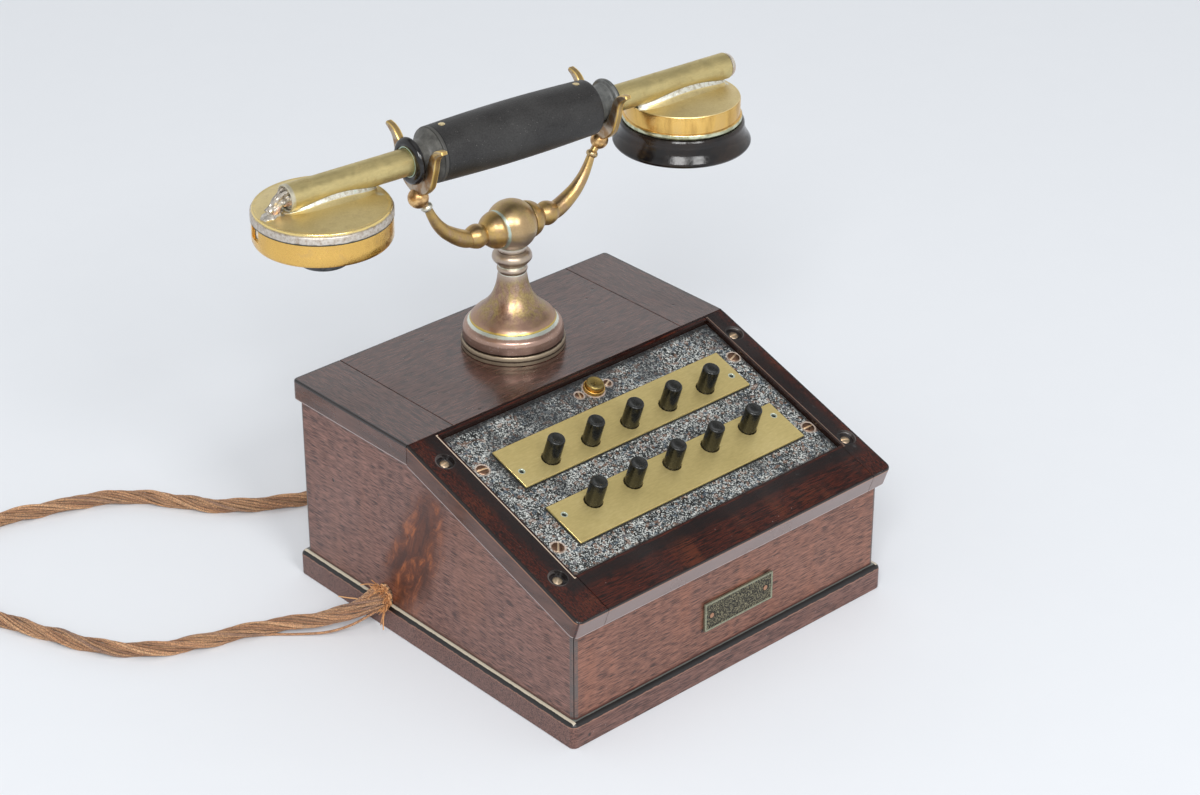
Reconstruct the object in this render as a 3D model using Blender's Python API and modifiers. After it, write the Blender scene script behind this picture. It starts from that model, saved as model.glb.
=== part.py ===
"""Desk intercom telephone: a wooden console with ten keys, a brass pillar cradle and a lift-off handset.

Metres, +Z up. The origin is the centre of the console's flat underside. +X is to the user's right,
and the front, with the sloping key panel, faces -Y.
"""
import math

import bmesh
import bpy
from mathutils import Matrix, Vector

# Clearances shared by every piece.
seat_gap = 0.0003
cut_overrun = 0.004
round_steps = 24
small_steps = 10
key_steps = 14
pillar_steps = 28
arm_steps = 18
capsule_steps = 30

# Console: plinth board, four mitred walls and the roof boards.
base_width = 0.1852
base_depth = 0.1852
base_height = 0.0123
base_round = 0.0025
wall_inset = 0.0026
wall_thickness = 0.010
roof_thickness = 0.0095
roof_top_height = 0.1007
roof_side_overhang = 0.0025
roof_back_overhang = 0.001
roof_front_overhang = 0.006
crease_from_centre = 0.012
slope_front_height = 0.0639
cleat_width = 0.026

# Key panel well in the sloping frame, measured up the slope from its front edge.
stile_left_width = 0.0165
stile_right_width = 0.0116
rail_front_width = 0.0217
rail_rear_undercut = 0.00064
ledge_side_width = 0.011
ledge_front_width = 0.008
ledge_rear_width = 0.0022
ledge_lift = 0.0002
panel_recess = 0.0022
panel_thickness = 0.003

# Key strips and keys. The room that strips and bush leave free in the well is shared out as gaps:
# in front of the front strip, between the strips, behind the rear strip and behind the bush.
strip_left_margin = 0.0151
strip_right_margin = 0.0100
strip_width = 0.0229
strip_thickness = 0.0009
well_gap_shares = (0.3903, 0.3860, 0.1331, 0.0906)
key_row_rear_offset = -0.0034
key_row_front_offset = 0.0044
key_pitch = 0.02275
keys_in_row = 5
key_base_radius = 0.00395
key_top_radius = 0.00375
key_chamfer = 0.0005
key_height = 0.0122
key_travel = 0.004
key_collar_radius = 0.0052
key_collar_thickness = 0.0012
key_stem_radius = 0.0016
key_stem_length = 0.0063
strip_hole_radius = 0.0011
strip_hole_inset = 0.004

# Contact bank under the keys.
bank_bar_width = 0.008
bank_bar_thickness = 0.004
bank_post_width = 0.006
bank_end_inset = 0.0039
bank_contact_radius = 0.0018
bank_contact_height = 0.0009
bank_tie_width = 0.008

# Call button with its bush and screws.
call_bush_wall = 0.0006
call_bush_height = 0.0016
call_button_radius = 0.004
call_button_rise = 0.0042
call_button_chamfer = 0.0004
call_button_travel = 0.002
call_collar_radius = 0.0052
call_collar_thickness = 0.001
call_screw_offset = 0.0083
call_screw_radius = 0.002

# Countersunk screws: the panel's go on into the frame's ledges, the frame's into the side walls.
panel_screw_radius = 0.0029
panel_screw_length = 0.0072
panel_screw_left_inset = 0.0055
panel_screw_right_inset = 0.0036
panel_screw_front_inset = 0.0168
panel_screw_rear_inset = 0.0228
frame_screw_radius = 0.0022
frame_screw_length = 0.015
frame_well_radius = 0.004
frame_well_depth = 0.0016
frame_screw_left_inset = 0.0093
frame_screw_right_inset = 0.006
frame_screw_front_slope = 0.024
frame_screw_rear_inset = 0.0152
call_screw_length = 0.0024
screw_head_rise_share = 0.16
screw_shank_share = 0.45
screw_slot_width_share = 0.22
screw_slot_depth_share = 0.2

# Name plate on the front wall, bare.
plate_length = 0.0404
plate_height = 0.0137
plate_thickness = 0.0012
plate_border = 0.0009
plate_border_rise = 0.0003
plate_centre_x = 0.0037
plate_centre_height = 0.0306
plate_pin_radius = 0.0011
plate_pin_rise = 0.0005
plate_pin_inset = 0.0042

# Cradle: the pillar, ball and arms stand on the flat roof, turned a little clockwise from above.
cradle_x = 0.0011
cradle_turn_degrees = -4.5
pillar_height = 0.0463
pillar_foot_radius = 0.0234
pillar_hollow_radius = 0.0175
pillar_hollow_height = 0.006
ball_radius = 0.0116
ball_collar_radius = 0.0064
ball_collar_height = 0.0016
stem_radius = 0.0028
stem_below_roof = 0.0065
cradle_travel = 0.004

# Arms: turned socket and bulb, tapering horn, bead, knob and crescent fork.
arm_socket_radius = 0.0083
arm_socket_start = 0.0083
arm_bulb_radius = 0.0055
arm_turned_end = 0.0232
horn_thick_radius = 0.0040
horn_thin_radius = 0.0017
horn_rise = 0.0215
bead_radius = 0.0026
knob_radius = 0.0041
knob_rise = 0.0054
knob_step_out = 0.0041
fork_from_grip = 0.0065
fork_sink = 0.0027
fork_thickness = 0.0036
fork_tip_reach = 0.0209
fork_tip_rise = 0.0106
fork_bottom_thickness = 0.0079

# Handset: straight brass tube through the grip, with its two capsules hung under the ends.
# It lies in the forks with its right end a little lower.
handset_tilt_degrees = 0.43
tube_radius = 0.006
tube_wall = 0.0009
tube_past_transmitter = 0.0176
tube_past_receiver = 0.0243
grip_half_length = 0.042
grip_end_radius = 0.0124
grip_middle_radius = 0.0133
grip_chamfer = 0.0007
neck_radius = 0.0082
collar_rim_radius = 0.0104
collar_flare_length = 0.0036
grip_pin_reach = 0.0355
grip_pin_radius = 0.0016
grip_pin_proud = 0.0001
end_cap_length = 0.0042
end_cap_plug_length = 0.005
stub_plug_length = 0.009
stub_plug_setback = 0.0012
stub_radius = 0.0027
stub_reach = 0.0066

# Transmitter: cup, clamping ring and mouthpiece.
transmitter_from_collar = 0.0123
transmitter_drop = 0.0074
lid_dome = 0.0028
cup_top_radius = 0.0292
cup_band_radius = 0.0299
cup_band_depth = 0.0048
cup_skirt_depth = 0.0072
capsule_wall = 0.0013
ring_depth = 0.0106
ring_mouth_radius = 0.0132
ring_notch_width = 0.008
ring_notch_depth = 0.0056
ring_notch_degrees = 166.5
mouth_flange_width = 0.0028
mouth_flange_thickness = 0.0021
mouth_boss_radius = 0.0112
mouth_boss_depth = 0.0106
mouth_throat_radius = 0.0044
mouth_lip_radius = 0.0092

# Receiver: can and ear cap.
receiver_from_collar = 0.0102
receiver_drop = 0.0078
can_radius = 0.0262
can_depth = 0.0107
can_foot_width = 0.001
can_foot_height = 0.0025
ear_top_margin = 0.0006
ear_rim_radius = 0.0313
ear_cap_depth = 0.0115
ear_hole_radius = 0.0045
ear_dish_depth = 0.0031
ear_web = 0.0024
ear_seat_width = 0.0021

# Solder saddles between the tube and the two capsules.
saddle_length = 0.043
saddle_half_width = 0.0026
saddle_rise = 0.003
saddle_sink = 0.0006

# Parts inside the console.
block_length = 0.070
block_width = 0.016
block_height = 0.012
block_from_back = 0.006
block_from_side = 0.002
terminal_count = 10
terminal_radius = 0.0022
terminal_height = 0.004
coil_length = 0.052
coil_cheek_width = 0.022
coil_cheek_height = 0.024
coil_cheek_thickness = 0.004
coil_winding_radius = 0.0092
coil_place_x = 0.030
coil_place_y = 0.012
switch_block_length = 0.016
switch_block_width = 0.010
switch_block_height = 0.008
switch_leaf_thickness = 0.0008
switch_leaf_width = 0.006
switch_offset = 0.0075

# Line cable: brown covered wires out of the left wall, round in an open loop and into the back wall.
cable_radius = 0.0033
cable_hole_clearance = 0.0009
cable_hole_height = 0.0166
cable_left_y = 0.033
cable_back_x = 0.0055
cable_points = 68

wall_outer_x = base_width / 2 - wall_inset
wall_outer_y = base_depth / 2 - wall_inset
roof_half = wall_outer_x + roof_side_overhang
roof_back_y = wall_outer_y + roof_back_overhang
slope_front_from_centre = wall_outer_y + roof_front_overhang
slope_run = crease_from_centre + slope_front_from_centre
slope_rise = roof_top_height - slope_front_height
slope_angle = math.atan2(slope_rise, slope_run)
slope_length = math.hypot(slope_run, slope_rise)
rear_lean = roof_thickness * math.tan(slope_angle)
well_left = -roof_half + stile_left_width
well_right = roof_half - stile_right_width
well_front = rail_front_width
well_rear = slope_length - rear_lean + rail_rear_undercut
rail_middle = (well_left + well_right) / 2
panel_top = -panel_recess
panel_bottom = panel_top - panel_thickness
ledge_depth = panel_recess + panel_thickness + seat_gap
strip_left = well_left + strip_left_margin
strip_right = well_right - strip_right_margin
row_centre_x = (strip_left + strip_right) / 2
call_bush_bore = call_button_radius + seat_gap
call_bush_radius = call_bush_bore + call_bush_wall
well_free = well_rear - well_front - 2 * strip_width - 2 * call_bush_radius
strip_front_slope = well_front + well_gap_shares[0] * well_free + strip_width / 2
strip_rear_slope = strip_front_slope + well_gap_shares[1] * well_free + strip_width
call_slope = well_rear - well_gap_shares[3] * well_free - call_bush_radius
key_row_rear_slope = strip_rear_slope + key_row_rear_offset
key_row_front_slope = strip_front_slope + key_row_front_offset
frame_screw_rear_slope = slope_length - frame_screw_rear_inset
strip_bottom = panel_top + seat_gap
strip_top = strip_bottom + strip_thickness
key_hole_radius = key_base_radius + seat_gap
key_top = strip_top + key_height
key_stem_bottom = panel_bottom - seat_gap - key_collar_thickness - key_stem_length
cradle_y = (crease_from_centre + roof_back_y) / 2
pillar_bore_radius = stem_radius + seat_gap
ball_centre_height = pillar_height + seat_gap + ball_radius
neck_seat_radius = neck_radius + seat_gap
fork_reach = grip_half_length + fork_from_grip
bead_reach = fork_reach - knob_step_out
bead_height = ball_centre_height + horn_rise
knob_height = bead_height + knob_rise
handset_axis_height = knob_height + knob_radius - fork_sink + fork_bottom_thickness + neck_seat_radius
collar_flare_start = fork_reach + fork_thickness / 2 + seat_gap
collar_end = collar_flare_start + collar_flare_length
transmitter_reach = collar_end + transmitter_from_collar + cup_band_radius
receiver_reach = collar_end + receiver_from_collar + ear_rim_radius
tube_left_reach = transmitter_reach + tube_past_transmitter
tube_right_reach = receiver_reach + tube_past_receiver
tube_bore_radius = tube_radius - tube_wall
sleeve_bore_radius = tube_radius + seat_gap
end_cap_radius = tube_radius - seat_gap


def clear_scene():
    for thing in list(bpy.data.objects):
        bpy.data.objects.remove(thing, do_unlink=True)
    for group in list(bpy.data.collections):
        bpy.data.collections.remove(group)


clear_scene()
telephone = bpy.data.collections.new("desk_telephone")
cutters = bpy.data.collections.new("cutters")
bpy.context.scene.collection.children.link(telephone)
bpy.context.scene.collection.children.link(cutters)


def finish(name, colour, roughness, metallic):
    """A Principled finish, made once and shared by the pieces that have it."""
    found = bpy.data.materials.get(name)
    if found:
        return found
    made = bpy.data.materials.new(name)
    made.use_nodes = True
    shader = made.node_tree.nodes["Principled BSDF"]
    shader.inputs["Base Color"].default_value = (*colour, 1)
    shader.inputs["Roughness"].default_value = roughness
    shader.inputs["Metallic"].default_value = metallic
    made.diffuse_color = (*colour, 1)
    return made


mahogany = finish("mahogany", (0.17, 0.075, 0.05), 0.35, 0)
dark_mahogany = finish("dark_mahogany", (0.07, 0.028, 0.022), 0.25, 0)
grey_mahogany = finish("grey_mahogany", (0.14, 0.085, 0.07), 0.4, 0)
aged_brass = finish("aged_brass", (0.45, 0.34, 0.17), 0.35, 1)
gold_brass = finish("gold_brass", (0.75, 0.5, 0.2), 0.22, 1)
strip_brass = finish("strip_brass", (0.47, 0.39, 0.19), 0.45, 1)
nickel = finish("worn_nickel", (0.45, 0.38, 0.33), 0.3, 1)
ebonite = finish("ebonite", (0.02, 0.02, 0.02), 0.3, 0)
dull_ebonite = finish("dull_ebonite", (0.045, 0.045, 0.045), 0.5, 0)
speckled = finish("speckled_panel", (0.12, 0.12, 0.12), 0.5, 0)
copper_wire = finish("copper_wire", (0.5, 0.22, 0.1), 0.4, 1)
brown_cloth = finish("brown_cloth", (0.3, 0.2, 0.12), 0.9, 0)


def empty(name, parent=None, location=(0, 0, 0), rotation=(0, 0, 0)):
    thing = bpy.data.objects.new(name, None)
    telephone.objects.link(thing)
    thing.parent = parent
    thing.location = location
    thing.rotation_euler = rotation
    return thing


def place(thing, parent=None, location=(0, 0, 0), rotation=(0, 0, 0)):
    thing.parent = parent
    thing.location = location
    thing.rotation_euler = rotation
    return thing


def piece(name, mesh, material, parent=None, location=(0, 0, 0), rotation=(0, 0, 0)):
    """A sub-part of the telephone, with its own finish."""
    thing = bpy.data.objects.new(name, mesh)
    telephone.objects.link(thing)
    mesh.materials.clear()
    mesh.materials.append(material)
    return place(thing, parent, location, rotation)


def cutter(name, mesh, parent=None, location=(0, 0, 0), rotation=(0, 0, 0)):
    """A shape that only cuts or joins other pieces."""
    thing = bpy.data.objects.new(name, mesh)
    cutters.objects.link(thing)
    thing.display_type = "WIRE"
    thing.hide_render = True
    return place(thing, parent, location, rotation)


def boolean(target, tool, operation):
    step = target.modifiers.new(tool.name, "BOOLEAN")
    step.operation = operation
    step.object = tool
    step.solver = "EXACT"
    return target


def cut(target, tool):
    return boolean(target, tool, "DIFFERENCE")


def join(target, tool):
    return boolean(target, tool, "UNION")


def box_mesh(name, low, high):
    """A box between two corners."""
    shape = bmesh.new()
    size = [h - l for l, h in zip(low, high)]
    middle = [(h + l) / 2 for l, h in zip(low, high)]
    bmesh.ops.create_cube(shape, size=1, matrix=Matrix.Translation(middle) @ Matrix.Diagonal((*size, 1)))
    mesh = bpy.data.meshes.new(name)
    shape.to_mesh(mesh)
    shape.free()
    return mesh


def rod_mesh(name, radius, bottom, top, steps=round_steps, top_radius=None):
    """A round bar along Z, plain or tapered."""
    shape = bmesh.new()
    turn = Matrix.Translation((0, 0, (bottom + top) / 2))
    bmesh.ops.create_cone(shape, cap_ends=True, segments=steps, radius1=radius,
                          radius2=radius if top_radius is None else top_radius,
                          depth=top - bottom, matrix=turn)
    mesh = bpy.data.meshes.new(name)
    shape.to_mesh(mesh)
    shape.free()
    shade(mesh)
    return mesh


def shade(mesh):
    mesh.shade_smooth()
    mesh.set_sharp_from_angle(angle=math.radians(35))


def baked_mesh(thing, name):
    """The evaluated mesh of a helper object, welded closed; the helper is removed."""
    bpy.context.view_layer.update()
    seen = thing.evaluated_get(bpy.context.evaluated_depsgraph_get())
    mesh = bpy.data.meshes.new_from_object(seen)
    shape = bmesh.new()
    shape.from_mesh(mesh)
    bmesh.ops.remove_doubles(shape, verts=shape.verts, dist=seat_gap / 30)
    bmesh.ops.recalc_face_normals(shape, faces=shape.faces)
    shape.to_mesh(mesh)
    shape.free()
    mesh.name = name
    data = thing.data
    bpy.data.objects.remove(thing, do_unlink=True)
    if isinstance(data, bpy.types.Curve):
        bpy.data.curves.remove(data)
    shade(mesh)
    return mesh


def turned_mesh(name, outline, steps=round_steps, closed=False):
    """A shape turned about Z; the outline runs down its outer side as (radius, height) pairs."""
    mesh = bpy.data.meshes.new(name + "_outline")
    ends = len(outline) if closed else len(outline) - 1
    edges = [(i, (i + 1) % len(outline)) for i in range(ends)]
    mesh.from_pydata([(r, 0, h) for r, h in outline], edges, [])
    thing = bpy.data.objects.new(name, mesh)
    cutters.objects.link(thing)
    screw = thing.modifiers.new("turn", "SCREW")
    screw.steps = steps
    screw.render_steps = steps
    screw.use_merge_vertices = True
    screw.merge_threshold = seat_gap / 30
    return baked_mesh(thing, name)


def outline_mesh(name, points, thickness):
    """A flat outline in XY given a thickness along Z, centred on the outline's plane."""
    curve = bpy.data.curves.new(name, "CURVE")
    curve.dimensions = "2D"
    curve.fill_mode = "BOTH"
    curve.extrude = thickness / 2
    line = curve.splines.new("POLY")
    line.points.add(len(points) - 1)
    for spot, (x, y) in zip(line.points, points):
        spot.co = (x, y, 0, 1)
    line.use_cyclic_u = True
    thing = bpy.data.objects.new(name, curve)
    cutters.objects.link(thing)
    return baked_mesh(thing, name)


def horn_mesh(name, points, radii, resolution=2):
    """A tube along points whose radius changes from end to end."""
    curve = bpy.data.curves.new(name, "CURVE")
    curve.dimensions = "3D"
    curve.bevel_depth = 1
    curve.bevel_resolution = resolution
    curve.use_fill_caps = True
    line = curve.splines.new("POLY")
    line.points.add(len(points) - 1)
    for spot, centre, radius in zip(line.points, points, radii):
        spot.co = (*centre, 1)
        spot.radius = radius
    thing = bpy.data.objects.new(name, curve)
    cutters.objects.link(thing)
    return baked_mesh(thing, name)


def smooth_path(points, count):
    """Evenly spaced points on a Catmull-Rom curve through the given points."""
    spots = [Vector(p) for p in points]
    spots = [spots[0] * 2 - spots[1]] + spots + [spots[-1] * 2 - spots[-2]]
    fine = []
    steps = 24
    for a, b, c, d in zip(spots, spots[1:], spots[2:], spots[3:]):
        for i in range(steps):
            t = i / steps
            fine.append(((2 * b) + (c - a) * t + (2 * a - 5 * b + 4 * c - d) * t * t
                         + (3 * b - a - 3 * c + d) * t ** 3) / 2)
    fine.append(spots[-2])
    lengths = [0]
    for a, b in zip(fine, fine[1:]):
        lengths.append(lengths[-1] + (b - a).length)
    path = []
    at = 0
    for i in range(count):
        want = lengths[-1] * i / (count - 1)
        while at < len(fine) - 2 and lengths[at + 1] < want:
            at += 1
        span = lengths[at + 1] - lengths[at]
        share = (want - lengths[at]) / span if span else 0
        path.append(fine[at].lerp(fine[at + 1], min(max(share, 0), 1)))
    return path


# Console. The plinth board closes the bottom; the four walls are mitred at the corners.
half_x = base_width / 2
half_y = base_depth / 2
base_board = piece("base_board", box_mesh("base_board", (-half_x, -half_y, 0), (half_x, half_y, base_height)),
                   mahogany)
weights = base_board.data.attributes.new("bevel_weight_edge", "FLOAT", "EDGE")
for edge in base_board.data.edges:
    ends = [base_board.data.vertices[v].co.z for v in edge.vertices]
    weights.data[edge.index].value = 1 if min(ends) > base_height / 2 else 0
mould = base_board.modifiers.new("moulding", "BEVEL")
mould.limit_method = "WEIGHT"
mould.width = base_round
mould.segments = 3

roof_under = roof_top_height - roof_thickness
slope_under_step = roof_thickness / math.cos(slope_angle)
wall_bottom = base_height + seat_gap
wall_top_limit = roof_top_height + cut_overrun
mitre_step = seat_gap / math.sqrt(2)


def wall_mesh(name, half_run, face, along_x):
    """A mitred board standing on the plinth; face is its outer distance from the centre line."""
    inner = abs(face) - wall_thickness
    short = half_run - wall_thickness
    side = math.copysign(1, face)
    end = half_run - mitre_step
    short_end = short - mitre_step
    plan = [(-end, abs(face)), (end, abs(face)), (short_end, inner), (-short_end, inner)]
    plan = [(x, y * side) for x, y in plan]
    if not along_x:
        plan = [(y, x) for x, y in plan]
    return outline_mesh(name, plan, wall_top_limit - wall_bottom)


wall_middle = (wall_bottom + wall_top_limit) / 2
walls = {}
for name, half_run, face, along_x in (("front_board", wall_outer_x, -wall_outer_y, True),
                                      ("back_board", wall_outer_x, wall_outer_y, True),
                                      ("side_left", wall_outer_y, -wall_outer_x, False),
                                      ("side_right", wall_outer_y, wall_outer_x, False)):
    board = wall_mesh(name, half_run, face, along_x)
    walls[name] = piece(name, board, mahogany, location=(0, 0, wall_middle))

# Everything above the underside of the roof boards is cut from the walls.
under_flat = roof_under - seat_gap
under_crease_drop = slope_under_step + seat_gap


def slope_under(y):
    """Height of the sloping frame's underside, less the seat gap, at a place along Y."""
    return slope_front_height + (y + slope_front_from_centre) * math.tan(slope_angle) - under_crease_drop


fold_rise = under_flat - slope_front_height + under_crease_drop
fold_y = -slope_front_from_centre + fold_rise / math.tan(slope_angle)
front_far = -half_y - cut_overrun
back_far = half_y + cut_overrun
roof_far = wall_top_limit + cut_overrun
roof_profile = [(front_far, slope_under(front_far)), (fold_y, under_flat), (back_far, under_flat),
                (back_far, roof_far), (front_far, roof_far)]
roof_cut = cutter("roof_cut", outline_mesh("roof_cut", roof_profile, base_width + cut_overrun),
                  rotation=(math.pi / 2, 0, math.pi / 2))
for wall in walls.values():
    cut(wall, roof_cut)

# The cable leaves through an arched notch in the foot of the left wall and enters one in the back wall.
notch_radius = cable_radius + cable_hole_clearance
notch_length = wall_thickness + 2 * cut_overrun


def notch_outline():
    """Arch with straight legs that run down past the wall's foot."""
    steps = 14
    arch = [(notch_radius * math.cos(math.pi * i / steps), notch_radius * math.sin(math.pi * i / steps))
            for i in range(steps + 1)]
    foot = wall_bottom - cut_overrun - cable_hole_height
    return arch + [(-notch_radius, foot), (notch_radius, foot)]


left_notch = cutter("left_notch", outline_mesh("left_notch", notch_outline(), notch_length),
                    location=(-wall_outer_x + wall_thickness / 2, cable_left_y, cable_hole_height),
                    rotation=(math.pi / 2, 0, math.pi / 2))
back_notch = cutter("back_notch", outline_mesh("back_notch", notch_outline(), notch_length),
                    location=(cable_back_x, wall_outer_y - wall_thickness / 2, cable_hole_height),
                    rotation=(math.pi / 2, 0, 0))
cut(walls["side_left"], left_notch)
cut(walls["back_board"], back_notch)

# Flat roof: a board between two end cleats.
crease_y = crease_from_centre + seat_gap / 2
board_half = roof_half - cleat_width
top_board = piece("top_board", box_mesh("top_board", (-board_half, crease_y, roof_under),
                                        (board_half, roof_back_y, roof_top_height)), grey_mahogany)
for name, side in (("top_cleat_left", -1), ("top_cleat_right", 1)):
    ends = sorted((side * (board_half + seat_gap), side * roof_half))
    piece(name, box_mesh(name, (ends[0], crease_y, roof_under), (ends[1], roof_back_y, roof_top_height)),
          grey_mahogany)
stem_hole = cutter("stem_hole", rod_mesh("stem_hole", stem_radius + 2 * seat_gap, roof_under - cut_overrun,
                                         roof_top_height + cut_overrun, small_steps),
                   location=(cradle_x, cradle_y, 0))
cut(top_board, stem_hole)

# Sloping frame: two stiles with a rail in front and a narrow one behind, rebated for the key panel.
# Its own axes: x across, y up the slope from the front edge, z out of the face.
slope = empty("slope_axes", location=(0, -slope_front_from_centre, slope_front_height),
              rotation=(slope_angle, 0, 0))
frame_length = slope_length - seat_gap / 2 / math.cos(slope_angle)
across = (math.pi / 2, 0, math.pi / 2)


def stile(name, outer, inner, side):
    """An upright of the frame with a ledge that the panel lies on."""
    width = abs(inner - outer)
    profile = [(0, 0), (frame_length, 0), (frame_length - rear_lean, -roof_thickness), (0, -roof_thickness)]
    made = piece(name, outline_mesh(name, profile, width), dark_mahogany, slope,
                 ((outer + inner) / 2, 0, 0), across)
    span = sorted((inner - side * ledge_side_width / 4, inner + side * ledge_side_width))
    ledge = cutter(name + "_ledge", box_mesh(name + "_ledge",
                   (span[0], well_front + ledge_front_width + seat_gap, -roof_thickness + ledge_lift),
                   (span[1], well_rear - ledge_rear_width - seat_gap, -ledge_depth)), slope)
    return join(made, ledge)


stile_left = stile("frame_stile_left", -roof_half, well_left, 1)
stile_right = stile("frame_stile_right", roof_half, well_right, -1)
rail_span = well_right - well_left - 2 * seat_gap
rail_profiles = {
    "frame_rail_front": [(0, 0), (well_front, 0), (well_front, -ledge_depth),
                         (well_front + ledge_front_width, -ledge_depth),
                         (well_front + ledge_front_width, -roof_thickness), (0, -roof_thickness)],
    "frame_rail_rear": [(well_rear, 0), (frame_length, 0), (frame_length - rear_lean, -roof_thickness),
                        (well_rear - ledge_rear_width, -roof_thickness),
                        (well_rear - ledge_rear_width, -ledge_depth), (well_rear, -ledge_depth)],
}
for name, profile in rail_profiles.items():
    piece(name, outline_mesh(name, profile, rail_span), dark_mahogany, slope, (rail_middle, 0, 0), across)

# Key panel in its well, and the two brass strips on it.
panel_low = (well_left + seat_gap, well_front + seat_gap, panel_bottom)
panel_high = (well_right - seat_gap, well_rear - seat_gap, panel_top)
key_panel = piece("key_panel", box_mesh("key_panel", panel_low, panel_high), speckled, slope)
strips = {}
for name, middle, row in (("key_strip_rear", strip_rear_slope, key_row_rear_slope),
                          ("key_strip_front", strip_front_slope, key_row_front_slope)):
    low = (strip_left, middle - strip_width / 2, strip_bottom)
    high = (strip_right, middle + strip_width / 2, strip_top)
    strips[name] = piece(name, box_mesh(name, low, high), strip_brass, slope)
    for side, x in (("left", strip_left + strip_hole_inset), ("right", strip_right - strip_hole_inset)):
        drill = rod_mesh(name + "_hole", strip_hole_radius, strip_bottom - cut_overrun,
                         strip_top + cut_overrun, small_steps)
        cut(strips[name], cutter(name + "_hole_" + side, drill, slope, (x, row, 0)))

# Keys: ebonite buttons with a collar that stops them under the panel.
key_outline = [(0, key_top), (key_top_radius - key_chamfer, key_top), (key_top_radius, key_top - key_chamfer),
               (key_base_radius, strip_top), (key_base_radius, panel_bottom - seat_gap),
               (key_collar_radius, panel_bottom - seat_gap),
               (key_collar_radius, panel_bottom - seat_gap - key_collar_thickness),
               (key_stem_radius, panel_bottom - seat_gap - key_collar_thickness),
               (key_stem_radius, key_stem_bottom), (0, key_stem_bottom)]
key_mesh = turned_mesh("key", key_outline, key_steps)
key_number = 0
for row, strip in ((key_row_rear_slope, "key_strip_rear"), (key_row_front_slope, "key_strip_front")):
    for i in range(keys_in_row):
        key_number += 1
        x = row_centre_x + (i - (keys_in_row - 1) / 2) * key_pitch
        name = "key_%d" % key_number
        piece(name, key_mesh, dull_ebonite, slope, (x, row, 0))
        hole = cutter(name + "_hole", rod_mesh(name + "_hole", key_hole_radius, panel_bottom - cut_overrun,
                                               strip_top + cut_overrun, key_steps), slope, (x, row, 0))
        cut(key_panel, hole)
        cut(strips[strip], hole)

# Contact bank: two bars under the key rows, tied together and hung from the panel by end posts.
bank_top = key_stem_bottom - key_travel - seat_gap - bank_contact_height
bank_bottom = bank_top - bank_bar_thickness
bank_left = strip_left + bank_end_inset
bank_right = strip_right - bank_end_inset
front_bar = (key_row_front_slope - bank_bar_width / 2, key_row_front_slope + bank_bar_width / 2)
rear_bar = (key_row_rear_slope - bank_bar_width / 2, key_row_rear_slope + bank_bar_width / 2)
contact_bank = piece("contact_bank", box_mesh("contact_bank", (bank_left, front_bar[0], bank_bottom),
                                              (bank_right, front_bar[1], bank_top)), ebonite, slope)
join(contact_bank, cutter("bank_rear_bar", box_mesh("bank_rear_bar", (bank_left, rear_bar[0], bank_bottom),
                                                    (bank_right, rear_bar[1], bank_top)), slope))
for side, low_x in (("left", bank_left), ("right", bank_right - bank_tie_width)):
    high_x = low_x + bank_tie_width
    tie = box_mesh("bank_tie", (low_x, key_row_front_slope, bank_bottom),
                   (high_x, key_row_rear_slope, bank_top))
    join(contact_bank, cutter("bank_tie_" + side, tie, slope))
    post_middle = (key_row_front_slope + key_row_rear_slope) / 2
    post = box_mesh("bank_post", (low_x, post_middle - bank_post_width / 2, bank_bottom),
                    (high_x, post_middle + bank_post_width / 2, panel_bottom - seat_gap))
    join(contact_bank, cutter("bank_post_" + side, post, slope))
for row in (key_row_front_slope, key_row_rear_slope):
    for i in range(keys_in_row):
        x = row_centre_x + (i - (keys_in_row - 1) / 2) * key_pitch
        contact = cutter("bank_contact", rod_mesh("bank_contact", bank_contact_radius,
                         bank_top - bank_bar_thickness / 2, bank_top + bank_contact_height, small_steps),
                         slope, (x, row, 0))
        join(contact_bank, contact)

# Call button in its brass bush.
call_bottom = panel_bottom - seat_gap - call_collar_thickness
call_top = panel_top + call_button_rise
bush_low = panel_top + seat_gap
bush_high = bush_low + call_bush_height
piece("call_bush", turned_mesh("call_bush", [
    (call_bush_bore, bush_high), (call_bush_radius - call_button_chamfer, bush_high),
    (call_bush_radius, bush_high - call_button_chamfer), (call_bush_radius, bush_low),
    (call_bush_bore, bush_low)], round_steps, closed=True), gold_brass, slope, (row_centre_x, call_slope, 0))
piece("call_button", turned_mesh("call_button", [
    (0, call_top), (call_button_radius - call_button_chamfer, call_top),
    (call_button_radius, call_top - call_button_chamfer), (call_button_radius, panel_bottom - seat_gap),
    (call_collar_radius, panel_bottom - seat_gap), (call_collar_radius, call_bottom), (0, call_bottom)]),
    gold_brass, slope, (row_centre_x, call_slope, 0))
cut(key_panel, cutter("call_hole", rod_mesh("call_hole", call_bush_bore, panel_bottom - cut_overrun,
                                            panel_top + cut_overrun), slope, (row_centre_x, call_slope, 0)))


def screw_outline(radius, length):
    """Slightly domed countersunk head, set flush with z = 0, and its shank."""
    shank = radius * screw_shank_share
    rise = radius * screw_head_rise_share
    return [(0, rise), (radius * 0.7, rise * 0.8), (radius, 0), (shank, shank - radius), (shank, -length),
            (0, -length)]


def screw_hole_outline(radius, length):
    """The screw's seat: its outline grown by the seat gap and open at the top."""
    shank = radius * screw_shank_share + seat_gap
    rim = radius + seat_gap
    return [(0, cut_overrun), (rim + seat_gap, cut_overrun), (rim + seat_gap, seat_gap), (shank, shank - rim),
            (shank, -length - seat_gap), (0, -length - seat_gap)]


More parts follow.
